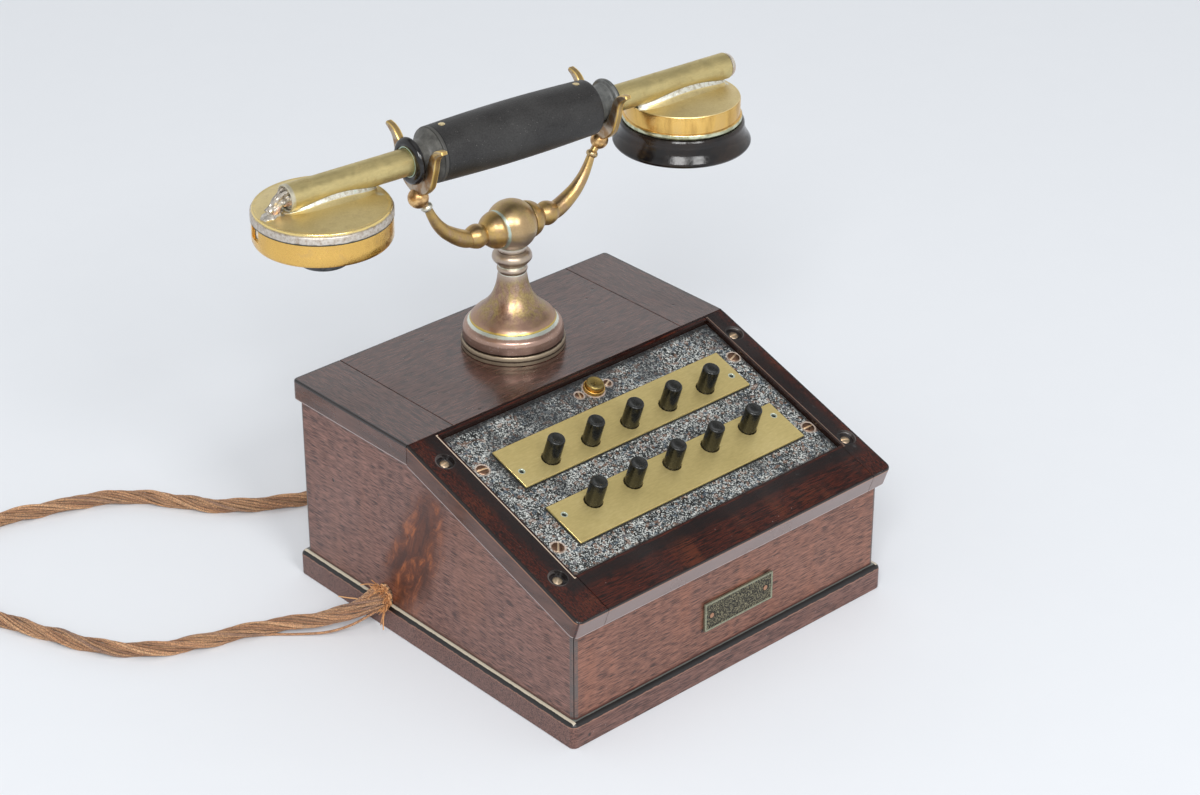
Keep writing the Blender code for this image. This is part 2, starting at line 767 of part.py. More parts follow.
def screw(name, radius, length, floor, x, y, slot_degrees, into):
    """A slotted screw set in the plane at a height of the slope axes, and its holes in what it holds."""
    made = piece(name, turned_mesh(name, screw_outline(radius, length), small_steps), aged_brass, slope,
                 (x, y, floor), (0, 0, math.radians(slot_degrees)))
    head = radius * screw_head_rise_share
    half = radius * screw_slot_width_share / 2
    cut(made, cutter(name + "_slot", box_mesh(name + "_slot",
        (-radius - seat_gap, -half, head - radius * screw_slot_depth_share),
        (radius + seat_gap, half, head + cut_overrun)), made))
    seat = turned_mesh(name + "_hole", screw_hole_outline(radius, length), small_steps)
    hole = cutter(name + "_hole", seat, slope, (x, y, floor), (0, 0, math.radians(slot_degrees)))
    for target in into:
        cut(target, hole)


for name, side, slot_degrees in (("call_screw_left", -1, 70), ("call_screw_right", 1, 25)):
    screw(name, call_screw_radius, call_screw_length, panel_top, row_centre_x + side * call_screw_offset,
          call_slope, slot_degrees, [key_panel])
panel_screw_left_x = well_left + panel_screw_left_inset
panel_screw_right_x = well_right - panel_screw_right_inset
panel_screw_front_y = well_front + panel_screw_front_inset
panel_screw_rear_y = well_rear - panel_screw_rear_inset
for name, x, y, slot_degrees, board in (
        ("panel_screw_1", panel_screw_left_x, panel_screw_rear_y, -8, stile_left),
        ("panel_screw_2", panel_screw_left_x, panel_screw_front_y, 50, stile_left),
        ("panel_screw_3", panel_screw_right_x, panel_screw_rear_y, 18, stile_right),
        ("panel_screw_4", panel_screw_right_x, panel_screw_front_y, -2, stile_right)):
    screw(name, panel_screw_radius, panel_screw_length, panel_top, x, y, slot_degrees, [key_panel, board])
frame_screw_left_x = -roof_half + frame_screw_left_inset
frame_screw_right_x = roof_half - frame_screw_right_inset
left_boards = [stile_left, walls["side_left"]]
right_boards = [stile_right, walls["side_right"]]
for name, x, y, slot_degrees, boards in (
        ("frame_screw_1", frame_screw_left_x, frame_screw_rear_slope, 10, left_boards),
        ("frame_screw_2", frame_screw_left_x, frame_screw_front_slope, 40, left_boards),
        ("frame_screw_3", frame_screw_right_x, frame_screw_rear_slope, 0, right_boards),
        ("frame_screw_4", frame_screw_right_x, frame_screw_front_slope, -20, right_boards)):
    well = rod_mesh(name + "_well", frame_well_radius, -frame_well_depth, cut_overrun)
    cut(boards[0], cutter(name + "_well", well, slope, (x, y, 0)))
    screw(name, frame_screw_radius, frame_screw_length, -frame_well_depth, x, y, slot_degrees, boards)

# Name plate: a bare brass plate with a raised border on the front wall.
plate_back = wall_outer_y + seat_gap
blank = box_mesh("name_plate", (-plate_length / 2, -plate_thickness, -plate_height / 2),
                 (plate_length / 2, 0, plate_height / 2))
name_plate = piece("name_plate", blank, strip_brass, None, (plate_centre_x, -plate_back, plate_centre_height))
cut(name_plate, cutter("plate_field", box_mesh("plate_field",
    (-plate_length / 2 + plate_border, -plate_thickness - cut_overrun, -plate_height / 2 + plate_border),
    (plate_length / 2 - plate_border, -plate_thickness + plate_border_rise, plate_height / 2 - plate_border)),
    name_plate))
for side in (-1, 1):
    x = side * (plate_length / 2 - plate_pin_inset)
    join(name_plate, cutter("plate_pin", turned_mesh("plate_pin", [
        (0, plate_pin_rise), (plate_pin_radius * 0.6, plate_pin_rise * 0.75), (plate_pin_radius, 0),
        (plate_pin_radius, -plate_thickness / 2), (0, -plate_thickness / 2)], small_steps), name_plate,
        (x, -plate_thickness + plate_border_rise, 0), (math.pi / 2, 0, 0)))

# Cradle axes: x along the handset, z up from the flat roof.
cradle = empty("cradle_axes", location=(cradle_x, cradle_y, roof_top_height),
               rotation=(0, 0, math.radians(cradle_turn_degrees)))

# Pillar: bell foot, neck, ring and bead, as shares of the foot radius and the pillar's height.
pillar_shares = ((0.27, 1.0), (0.345, 0.98), (0.38, 0.945), (0.372, 0.91), (0.3, 0.868), (0.258, 0.842),
                 (0.285, 0.825), (0.285, 0.79), (0.265, 0.775), (0.282, 0.738), (0.303, 0.67),
                 (0.342, 0.594), (0.41, 0.514), (0.513, 0.44), (0.65, 0.371), (0.795, 0.311), (0.83, 0.281),
                 (0.815, 0.266), (0.872, 0.244), (0.932, 0.22), (0.962, 0.186), (0.962, 0.099),
                 (0.949, 0.091), (0.985, 0.084), (1.0, 0.07), (1.0, 0.0))
pillar_body = pillar_height - seat_gap
hollow_crown = pillar_hollow_height * 2.4
pillar_outline = [(r * pillar_foot_radius, seat_gap + h * pillar_body) for r, h in pillar_shares]
pillar_outline += [(pillar_hollow_radius, seat_gap), (pillar_hollow_radius, pillar_hollow_height),
                   (pillar_bore_radius * 2, hollow_crown), (pillar_bore_radius, hollow_crown),
                   (pillar_bore_radius, pillar_height)]
pillar_mesh = turned_mesh("cradle_pillar", pillar_outline, pillar_steps, closed=True)
piece("cradle_pillar", pillar_mesh, nickel, cradle)

# Ball on its stem. The stem slides in the pillar and works the hook switch under the roof.
ball_shape = bmesh.new()
bmesh.ops.create_uvsphere(ball_shape, u_segments=20, v_segments=12, radius=ball_radius,
                          matrix=Matrix.Translation((0, 0, ball_centre_height)))
ball_mesh = bpy.data.meshes.new("cradle_ball")
ball_shape.to_mesh(ball_mesh)
ball_shape.free()
ball_mesh.shade_smooth()
ball = piece("cradle_ball", ball_mesh, nickel, cradle)
collar_low = pillar_height + seat_gap
join(ball, cutter("ball_collar", rod_mesh("ball_collar", ball_collar_radius, collar_low,
                                          collar_low + ball_collar_height), cradle))
stem_low = -roof_thickness - stem_below_roof
join(ball, cutter("ball_stem", rod_mesh("ball_stem", stem_radius, stem_low, ball_centre_height, small_steps),
                  cradle))

# Arms. The socket hugs the ball with a small gap.
socket_outline = [(0, arm_turned_end), (horn_thick_radius, arm_turned_end),
                  (arm_bulb_radius * 0.93, arm_turned_end - arm_bulb_radius * 0.42),
                  (arm_bulb_radius, arm_turned_end - arm_bulb_radius * 0.82),
                  (arm_bulb_radius * 0.86, arm_turned_end - arm_bulb_radius * 1.16),
                  (arm_bulb_radius * 0.82, arm_turned_end - arm_bulb_radius * 1.4),
                  (arm_socket_radius * 0.69, arm_socket_start + arm_socket_radius * 0.72),
                  (arm_socket_radius * 0.89, arm_socket_start + arm_socket_radius * 0.47),
                  (arm_socket_radius * 0.99, arm_socket_start + arm_socket_radius * 0.22),
                  (arm_socket_radius, arm_socket_start), (0, arm_socket_start)]
horn_shares = ((-0.12, 0.0), (0.0, 0.0), (0.14, 0.05), (0.31, 0.145), (0.45, 0.24), (0.58, 0.345),
               (0.75, 0.54), (0.88, 0.76), (1.0, 1.0))
fork_in_shares = ((0.45, -0.05), (0.5, 0.24), (0.56, 0.53), (0.68, 0.79), (0.82, 0.94), (0.975, 1.0))
fork_out_shares = ((1.0, 0.87), (0.87, 0.7), (0.775, 0.51), (0.725, 0.245), (0.69, -0.085))
bead_steps = 5
knob_steps = 7
fork_arc_steps = 6
fork_arc_end = math.radians(25)


def fork_outline():
    """Crescent that carries the neck, its two tips curled outwards; y is height from the handset's axis."""
    inner = []
    outer = []
    for i in range(fork_arc_steps + 1):
        turn = -math.pi / 2 + (math.pi / 2 - fork_arc_end) * i / fork_arc_steps
        inner.append((neck_seat_radius * math.cos(turn), neck_seat_radius * math.sin(turn)))
        wide = neck_seat_radius + fork_bottom_thickness * (1 - 0.27 * i / fork_arc_steps)
        outer.append((wide * math.cos(turn), wide * math.sin(turn)))
    half = inner + [(x * fork_tip_reach, y * fork_tip_rise) for x, y in fork_in_shares]
    half += [(x * fork_tip_reach, y * fork_tip_rise) for x, y in fork_out_shares]
    half += list(reversed(outer))
    other = [(-x, y) for x, y in reversed(half[1:-1])]
    return half + other


def half_round(radius, half_height, steps):
    """Half outline of a ball, whole or flattened, from its top down."""
    return [(radius * math.sin(math.pi * i / steps), half_height * math.cos(math.pi * i / steps))
            for i in range(steps + 1)]


handset_tilt = math.radians(handset_tilt_degrees)
for name, side in (("arm_left", -1), ("arm_right", 1)):
    outward = (0, math.pi / 2 * side, 0)
    arm = piece(name, turned_mesh(name, socket_outline, arm_steps), nickel, cradle,
                (0, 0, ball_centre_height), outward)
    start = Vector((side * arm_turned_end, 0, ball_centre_height))
    bead = Vector((side * bead_reach, 0, bead_height))
    path = [(start.x + (bead.x - start.x) * a, 0, start.z + (bead.z - start.z) * b) for a, b in horn_shares]
    path.append((side * fork_reach, 0, knob_height))
    horn_taper = horn_thick_radius - horn_thin_radius
    radii = [horn_thick_radius - horn_taper * max(a, 0) ** 1.7 for a, b in horn_shares]
    radii.append(horn_thin_radius)
    join(arm, cutter(name + "_horn", horn_mesh(name + "_horn", path, radii), cradle))
    bead_outline = half_round(bead_radius, bead_radius * 0.72, bead_steps)
    bead_mesh = turned_mesh(name + "_bead", bead_outline, small_steps)
    join(arm, cutter(name + "_bead", bead_mesh, cradle, bead, (0, side * math.radians(30), 0)))
    knob_mesh = turned_mesh(name + "_knob", half_round(knob_radius, knob_radius, knob_steps), small_steps)
    join(arm, cutter(name + "_knob", knob_mesh, cradle, (side * fork_reach, 0, knob_height)))
    fork_height = handset_axis_height - side * fork_reach * math.tan(handset_tilt)
    join(arm, cutter(name + "_fork", outline_mesh(name + "_fork", fork_outline(), fork_thickness), cradle,
                     (side * fork_reach, 0, fork_height), across))
    clearance = cutter(name + "_ball_seat", bpy.data.meshes.new(name + "_ball_seat"), cradle)
    seat_shape = bmesh.new()
    bmesh.ops.create_uvsphere(seat_shape, u_segments=20, v_segments=12, radius=ball_radius + seat_gap,
                              matrix=Matrix.Translation((0, 0, ball_centre_height)))
    seat_shape.to_mesh(clearance.data)
    seat_shape.free()
    cut(arm, clearance)

# Handset axes: x along the tube, z up.
handset = empty("handset_axes", parent=cradle, location=(0, 0, handset_axis_height),
                rotation=(0, handset_tilt, 0))
along = (0, math.pi / 2, 0)

piece("handset_tube", turned_mesh("handset_tube", [
    (tube_bore_radius, tube_right_reach), (tube_radius, tube_right_reach), (tube_radius, -tube_left_reach),
    (tube_bore_radius, -tube_left_reach)], round_steps, closed=True), aged_brass, handset, rotation=along)

grip_steps = 5
grip_side = [(grip_end_radius + (grip_middle_radius - grip_end_radius)
              * math.cos(math.pi / 2 * (-1 + 2 * i / grip_steps)),
              (grip_half_length - grip_chamfer) * (1 - 2 * i / grip_steps)) for i in range(grip_steps + 1)]
grip_outline = [(sleeve_bore_radius, grip_half_length), (grip_end_radius - grip_chamfer, grip_half_length)]
grip_outline += grip_side
grip_outline += [(grip_end_radius - grip_chamfer, -grip_half_length), (sleeve_bore_radius, -grip_half_length)]
grip = piece("grip", turned_mesh("grip", grip_outline, round_steps, closed=True), dull_ebonite, handset,
             rotation=along)

collar_in = grip_half_length + seat_gap
for name, side in (("collar_left", -1), ("collar_right", 1)):
    outline = [(sleeve_bore_radius, collar_end - collar_flare_length / 4),
               (collar_rim_radius * 0.72, collar_end - collar_flare_length / 4),
               (collar_rim_radius * 0.86, collar_end),
               (collar_rim_radius * 0.955, collar_end - 0.15 * neck_radius),
               (collar_rim_radius, collar_end - 0.27 * neck_radius),
               (collar_rim_radius * 0.97, collar_flare_start + 0.1 * neck_radius),
               (neck_radius, collar_flare_start), (neck_radius, collar_in), (sleeve_bore_radius, collar_in)]
    piece(name, turned_mesh(name, outline, round_steps, closed=True), ebonite, handset,
          rotation=(0, side * math.pi / 2, 0))

# Two brass pins go down through the grip onto the tube.
for name, side in (("grip_pin_left", -1), ("grip_pin_right", 1)):
    reach = side * grip_pin_reach
    surface = grip_end_radius + (grip_middle_radius - grip_end_radius) * math.cos(
        math.pi / 2 * grip_pin_reach / (grip_half_length - grip_chamfer))
    pin = rod_mesh(name, grip_pin_radius, tube_radius + seat_gap, surface + grip_pin_proud, small_steps)
    piece(name, pin, aged_brass, handset, (reach, 0, 0))
    drill = rod_mesh(name + "_hole", grip_pin_radius + seat_gap, tube_radius / 2, surface + cut_overrun,
                     small_steps)
    cut(grip, cutter(name + "_hole", drill, handset, (reach, 0, 0)))

plug_radius = tube_bore_radius - seat_gap
piece("tube_end_cap", turned_mesh("tube_end_cap", [
    (0, end_cap_length), (end_cap_radius * 0.45, end_cap_length * 0.93),
    (end_cap_radius * 0.8, end_cap_length * 0.68),
    (end_cap_radius * 0.97, end_cap_length * 0.36), (end_cap_radius, seat_gap),
    (plug_radius, seat_gap), (plug_radius, -end_cap_plug_length), (0, -end_cap_plug_length)], arm_steps),
    aged_brass, handset, (tube_right_reach, 0, 0), along)

# Torn stump of the handset cord, held by a bush in the tube's open end.
stub_face = -tube_left_reach + stub_plug_setback
bush = rod_mesh("cord_stub", plug_radius, 0, stub_plug_length, arm_steps)
cord_stub = piece("cord_stub", bush, brown_cloth, handset, (stub_face, 0, 0), along)
stub_rest = stub_radius + seat_gap + lid_dome / 3 - transmitter_drop
stub_path = [(stub_face + stub_plug_length / 2, 0, 0), (stub_face, 0, 0),
             (-tube_left_reach - 0.25 * stub_reach, 0, stub_rest * 0.2),
             (-tube_left_reach - 0.6 * stub_reach, 0, stub_rest * 0.62),
             (-tube_left_reach - 0.85 * stub_reach, -0.05 * stub_reach, stub_rest * 0.92),
             (-tube_left_reach - stub_reach, -0.15 * stub_reach, stub_rest)]
stub_radii = [stub_radius] * len(stub_path)
join(cord_stub, cutter("stub_cord", horn_mesh("stub_cord", stub_path, stub_radii), handset))

# Solder saddle: a block under the tube, hollowed by the tube's own radius.
hollow = rod_mesh("saddle_hollow", sleeve_bore_radius, -tube_left_reach - cut_overrun,
                  tube_right_reach + cut_overrun)
saddle_hollow = cutter("saddle_hollow", hollow, handset, rotation=along)


def saddle(name, reach, drop):
    """Block of solder between a capsule's lid and the tube, in the handset's axes."""
    half = saddle_length / 2
    return cutter(name, box_mesh(name, (reach - half, -saddle_half_width, -drop - saddle_sink),
                                 (reach + half, saddle_half_width, saddle_rise - drop)), handset)


def domed_lid(radius, top):
    """Points of a lid's shallow dome, from its crown out to the flat margin."""
    dome_steps = 3
    span = radius * 0.95
    return [(span * i / dome_steps, top + lid_dome * (1 - (i / dome_steps) ** 2))
            for i in range(dome_steps + 1)]


# Transmitter on the left: shallow cup with a skirt, polished clamping ring and ebonite mouthpiece.
# Heights are from the handset's axis, which both capsules hang under.
transmitter_at = (-transmitter_reach, 0, 0)
cup_top = -transmitter_drop
cup_band_bottom = cup_top - cup_band_depth
ring_radius = cup_band_radius - seat_gap
ring_top = cup_band_bottom - seat_gap
ring_bottom = ring_top + seat_gap - ring_depth
lid = capsule_wall
skirt_radius = ring_radius - capsule_wall - seat_gap
cup_outline = domed_lid(cup_top_radius, cup_top) + [
    (cup_top_radius * 0.985, cup_top), (cup_top_radius, cup_top - lid * 0.35),
    (cup_top_radius, cup_top - lid * 0.8), (cup_band_radius, cup_top - lid * 1.1),
    (cup_band_radius, cup_band_bottom), (skirt_radius, cup_band_bottom),
    (skirt_radius, cup_band_bottom - cup_skirt_depth),
    (skirt_radius - capsule_wall, cup_band_bottom - cup_skirt_depth),
    (skirt_radius - capsule_wall, cup_top - lid * 1.5), (0, cup_top - lid * 1.5)]
cup = piece("transmitter_cup", turned_mesh("transmitter_cup", cup_outline, capsule_steps), aged_brass,
            handset, transmitter_at)
join(cup, saddle("transmitter_saddle", saddle_length / 2 - tube_left_reach, transmitter_drop))
cut(cup, saddle_hollow)

ring_wall = capsule_wall
ring = piece("transmitter_ring", turned_mesh("transmitter_ring", [
    (ring_radius - ring_wall, ring_top), (ring_radius, ring_top),
    (ring_radius, ring_bottom + ring_wall * 1.2),
    (ring_radius - ring_wall * 0.5, ring_bottom + ring_wall * 0.3),
    (ring_radius - ring_wall * 1.2, ring_bottom),
    (ring_mouth_radius, ring_bottom), (ring_mouth_radius, ring_bottom + ring_wall),
    (ring_radius - ring_wall, ring_bottom + ring_wall)], capsule_steps, closed=True), gold_brass, handset,
    transmitter_at)
cut(ring, cutter("ring_notch", box_mesh("ring_notch",
    (skirt_radius - ring_wall, -ring_notch_width / 2, ring_top - ring_notch_depth),
    (ring_radius + ring_wall, ring_notch_width / 2, ring_top + cut_overrun)), ring,
    rotation=(0, 0, math.radians(ring_notch_degrees))))

flange_low = ring_bottom + ring_wall + seat_gap
flange_high = flange_low + mouth_flange_thickness
mouth_flange_radius = ring_mouth_radius + mouth_flange_width
throat_top = flange_high - mouth_flange_thickness * 0.6
mouth_boss_bottom = ring_bottom - mouth_boss_depth
mouth_drop = flange_low - mouth_boss_bottom
piece("mouthpiece", turned_mesh("mouthpiece", [
    (0, flange_high), (mouth_flange_radius, flange_high), (mouth_flange_radius, flange_low),
    (ring_mouth_radius - seat_gap * 2, flange_low),
    (mouth_boss_radius * 1.02, mouth_boss_bottom + mouth_drop * 0.6),
    (mouth_boss_radius * 0.97, mouth_boss_bottom + mouth_drop * 0.27),
    (mouth_boss_radius, mouth_boss_bottom + mouth_drop * 0.1),
    (mouth_boss_radius * 0.94, mouth_boss_bottom), (mouth_lip_radius, mouth_boss_bottom),
    (mouth_lip_radius * 0.76, mouth_boss_bottom + mouth_drop * 0.2),
    (mouth_throat_radius * 1.15, mouth_boss_bottom + mouth_drop * 0.48),
    (mouth_throat_radius, mouth_boss_bottom + mouth_drop * 0.75), (mouth_throat_radius, throat_top),
    (0, throat_top)], round_steps), ebonite, handset, transmitter_at)

# Receiver on the right: brass can and flared ear cap.
receiver_at = (receiver_reach, 0, 0)
can_top = -receiver_drop
can_bottom = can_top - can_depth
can_foot_radius = can_radius + can_foot_width
ear_top_radius = can_foot_radius + ear_top_margin
ear_chamber_radius = can_radius - capsule_wall - ear_seat_width
can_outline = domed_lid(can_radius, can_top) + [
    (can_radius * 0.985, can_top - lid * 0.15), (can_radius, can_top - lid * 0.7),
    (can_radius, can_bottom + can_foot_height), (can_foot_radius * 0.99, can_bottom + can_foot_height * 0.8),
    (can_foot_radius, can_bottom + can_foot_height * 0.3), (can_foot_radius * 0.985, can_bottom),
    (can_radius - capsule_wall, can_bottom), (can_radius - capsule_wall, can_top - lid * 1.5),
    (0, can_top - lid * 1.5)]
can = piece("receiver_can", turned_mesh("receiver_can", can_outline, capsule_steps), gold_brass, handset,
            receiver_at)
join(can, saddle("receiver_saddle", receiver_reach, receiver_drop))
cut(can, saddle_hollow)

ear_top = can_bottom - seat_gap
ear_rim_bottom = ear_top - ear_cap_depth
ear_spread = ear_rim_radius - ear_top_radius
dish_top = ear_rim_bottom + ear_dish_depth
chamber_floor = dish_top + ear_web
piece("ear_cap", turned_mesh("ear_cap", [
    (ear_chamber_radius, ear_top), (ear_top_radius, ear_top),
    (ear_top_radius + ear_spread * 0.1, ear_top - ear_cap_depth * 0.11),
    (ear_top_radius + ear_spread * 0.15, ear_top - ear_cap_depth * 0.3),
    (ear_top_radius + ear_spread * 0.38, ear_top - ear_cap_depth * 0.55),
    (ear_top_radius + ear_spread * 0.8, ear_top - ear_cap_depth * 0.76),
    (ear_rim_radius, ear_top - ear_cap_depth * 0.87),
    (ear_rim_radius, ear_rim_bottom + ear_cap_depth * 0.07), (ear_rim_radius * 0.978, ear_rim_bottom),
    (ear_rim_radius * 0.92, ear_rim_bottom), (ear_rim_radius * 0.77, ear_rim_bottom + ear_dish_depth * 0.4),
    (ear_rim_radius * 0.45, ear_rim_bottom + ear_dish_depth * 0.82), (ear_hole_radius * 1.1, dish_top),
    (ear_hole_radius, dish_top + ear_web / 4), (ear_hole_radius, chamber_floor),
    (ear_chamber_radius, chamber_floor)], capsule_steps, closed=True), ebonite, handset, receiver_at)

# Inside the console: terminal block and induction coil on the plinth board, hook switch under the roof.
block_back = wall_outer_y - wall_thickness - block_from_back
block_centre_x = wall_thickness - wall_outer_x + block_from_side + block_length / 2
block_floor = base_height + seat_gap
terminal_block = piece("terminal_block", box_mesh("terminal_block", (block_centre_x - block_length / 2,
                       block_back - block_width, block_floor),
                       (block_centre_x + block_length / 2, block_back, block_floor + block_height)), ebonite)
for i in range(terminal_count):
    x = block_centre_x + (i - (terminal_count - 1) / 2) * block_length / terminal_count
    terminal = rod_mesh("terminal", terminal_radius, block_floor + block_height / 2,
                        block_floor + block_height + terminal_height, small_steps)
    join(terminal_block, cutter("terminal", terminal, location=(x, block_back - block_width / 2, 0)))

cheek_half = coil_cheek_width / 2
coil_middle = block_floor + coil_cheek_height / 2
coil_at = (coil_place_x, coil_place_y, coil_middle)
winding = rod_mesh("induction_coil", coil_winding_radius, -coil_length / 2, coil_length / 2)
coil = piece("induction_coil", winding, copper_wire, location=coil_at, rotation=along)
for side in (-1, 1):
    span = sorted((side * coil_length / 2, side * (coil_length / 2 - coil_cheek_thickness)))
    join(coil, cutter("coil_cheek", box_mesh("coil_cheek", (span[0], -cheek_half, -coil_cheek_height / 2),
         (span[1], cheek_half, coil_cheek_height / 2)), location=coil_at))

switch_top = roof_under - seat_gap
stem_end = roof_top_height + stem_low
leaf_top = stem_end - seat_gap
switch_mesh = box_mesh("hook_switch", (switch_offset, -switch_block_width / 2, -switch_block_height),
                       (switch_offset + switch_block_length, switch_block_width / 2, 0))
switch = piece("hook_switch", switch_mesh, ebonite, None, (cradle_x, cradle_y, switch_top))
join(switch, cutter("switch_leaf", box_mesh("switch_leaf",
     (-stem_radius, -switch_leaf_width / 2, leaf_top - switch_leaf_thickness - switch_top),
     (switch_offset + switch_block_length / 2, switch_leaf_width / 2, leaf_top - switch_top)), switch))

# Line cable. Its route is chosen by hand on the surface that the console stands on.
floor_height = cable_radius
cable_route = [
    (-0.0842, 0.0330, 0.0166), (-0.0900, 0.0330, 0.0166), (-0.0965, 0.0336, 0.0158),
    (-0.1035, 0.0368, 0.0112), (-0.1105, 0.0428, 0.0058), (-0.1180, 0.0512, 0.0034),
    (-0.1290, 0.0602, 0.0033), (-0.1420, 0.0662, 0.0033), (-0.1620, 0.0730, 0.0033),
    (-0.1815, 0.0825, 0.0033), (-0.1962, 0.0990, 0.0033), (-0.2070, 0.1220, 0.0033),
    (-0.2166, 0.1470, 0.0033), (-0.2235, 0.1720, 0.0033), (-0.2225, 0.1960, 0.0033),
    (-0.2100, 0.2130, 0.0033), (-0.1910, 0.2200, 0.0033), (-0.1712, 0.2185, 0.0033),
    (-0.1491, 0.2115, 0.0033), (-0.1275, 0.2030, 0.0033), (-0.1120, 0.1915, 0.0033),
    (-0.1005, 0.1755, 0.0033), (-0.0905, 0.1610, 0.0033), (-0.0775, 0.1505, 0.0033),
    (-0.0620, 0.1415, 0.0033), (-0.0450, 0.1355, 0.0033), (-0.0280, 0.1320, 0.0033),
    (-0.0130, 0.1275, 0.0035), (-0.0020, 0.1195, 0.0058), (0.0040, 0.1105, 0.0106),
    (0.0055, 0.1015, 0.0152), (0.0055, 0.0940, 0.0166), (0.0055, 0.0842, 0.0166)]
cable_curve = bpy.data.curves.new("line_cable", "CURVE")
cable_curve.dimensions = "3D"
cable_curve.bevel_depth = cable_radius
cable_curve.bevel_resolution = 2
cable_curve.use_fill_caps = True
cable_line = cable_curve.splines.new("POLY")
cable_places = smooth_path(cable_route, cable_points)
cable_line.points.add(len(cable_places) - 1)
for spot, at in zip(cable_line.points, cable_places):
    spot.co = (at.x, at.y, max(at.z, floor_height), 1)
cable_curve.materials.append(brown_cloth)
line_cable = bpy.data.objects.new("line_cable", cable_curve)
telephone.objects.link(line_cable)

for thing in telephone.objects:
    if thing.type == "MESH":
        shade(thing.data)
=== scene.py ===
"""The visible pieces and finishes of a desk intercom telephone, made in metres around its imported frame."""
import math
import random

import bmesh
import bpy
from mathutils import Matrix, Vector, noise


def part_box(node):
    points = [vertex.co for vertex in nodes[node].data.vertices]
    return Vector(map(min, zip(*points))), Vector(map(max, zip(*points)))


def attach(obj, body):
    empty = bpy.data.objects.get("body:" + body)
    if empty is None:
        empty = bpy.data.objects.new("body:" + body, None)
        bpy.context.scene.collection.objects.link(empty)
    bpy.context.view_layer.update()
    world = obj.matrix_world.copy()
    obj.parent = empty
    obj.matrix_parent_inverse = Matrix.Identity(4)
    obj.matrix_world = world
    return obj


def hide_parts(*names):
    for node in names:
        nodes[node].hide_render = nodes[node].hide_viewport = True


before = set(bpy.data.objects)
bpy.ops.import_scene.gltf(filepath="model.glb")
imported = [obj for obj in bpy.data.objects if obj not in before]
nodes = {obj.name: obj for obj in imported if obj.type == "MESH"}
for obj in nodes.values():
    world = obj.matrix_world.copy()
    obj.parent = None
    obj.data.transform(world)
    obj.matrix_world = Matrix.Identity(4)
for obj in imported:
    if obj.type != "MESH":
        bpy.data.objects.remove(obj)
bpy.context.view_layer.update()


# Camera. It stands at the front left of the table, a little above the telephone,
# and sees the sloping key panel and the cable's loop.
def put(name, data):
    """Puts new data in the scene as an object."""
    thing = bpy.data.objects.new(name, data)
    bpy.context.scene.collection.objects.link(thing)
    return thing


camera = put("camera", bpy.data.cameras.new("camera"))
camera.location = (-0.7495, -0.8305, 0.7218)
camera.rotation_euler = [math.radians(angle) for angle in (60.70, 0, -42.31)]
camera.data.lens = 88.29
camera.data.sensor_width = 36
camera.data.sensor_fit = "HORIZONTAL"
bpy.context.scene.camera = camera
bpy.context.scene.view_settings.view_transform = "Standard"


# Line cable. Many thin wires, each in its own cotton cover, are laid loosely together with a long
# left-hand twist. It leaves the left wall by a notch, lies round on the table and goes into the back wall.
class Pattern:
    """A value that varies over a piece. Sums, products and grades of it make new patterns of its finish."""

    def __init__(self, finish, socket):
        self.finish = finish
        self.socket = socket

    def __add__(self, other):
        return self.finish.math("ADD", self, other)

    def __sub__(self, other):
        return self.finish.math("SUBTRACT", self, other)

    def __rsub__(self, other):
        return self.finish.math("SUBTRACT", other, self)

    def __mul__(self, other):
        return self.finish.math("MULTIPLY", self, other)

    def __abs__(self):
        return self.finish.math("ABSOLUTE", self, 0)

    def __or__(self, other):
        """The larger of two patterns."""
        return self.finish.math("MAXIMUM", self, other)

    def grade(self, low, high, start, end):
        """Runs smoothly from start to end as the pattern goes from low to high."""
        made = self.finish.node("MapRange", interpolation_type="SMOOTHSTEP")
        for socket, number in zip(made.inputs, (self, low, high, start, end)):
            self.finish.feed(socket, number)
        return Pattern(self.finish, made.outputs[0])

    def rise(self, low, high, share=1.0):
        return self.grade(low, high, 0.0, share)

    def fade(self, low, high, share=1.0):
        return self.grade(low, high, share, 0.0)

    def stripe(self, low, full, still, gone, share=1.0):
        """Rises to a share between two levels, stays there, and fades again."""
        return self.rise(low, full) * self.fade(still, gone, share)

    def ramp(self, *stops):
        """Colours that blend into each other, each at its own level of the pattern."""
        made = self.finish.node("ValToRGB")
        self.finish.feed(made.inputs[0], self)
        band = made.color_ramp
        while len(band.elements) < len(stops):
            band.elements.new(1.0)
        for element, (place, colour) in zip(band.elements, stops):
            element.position = place
            element.color = (*colour, 1)
        return Pattern(self.finish, made.outputs[0])


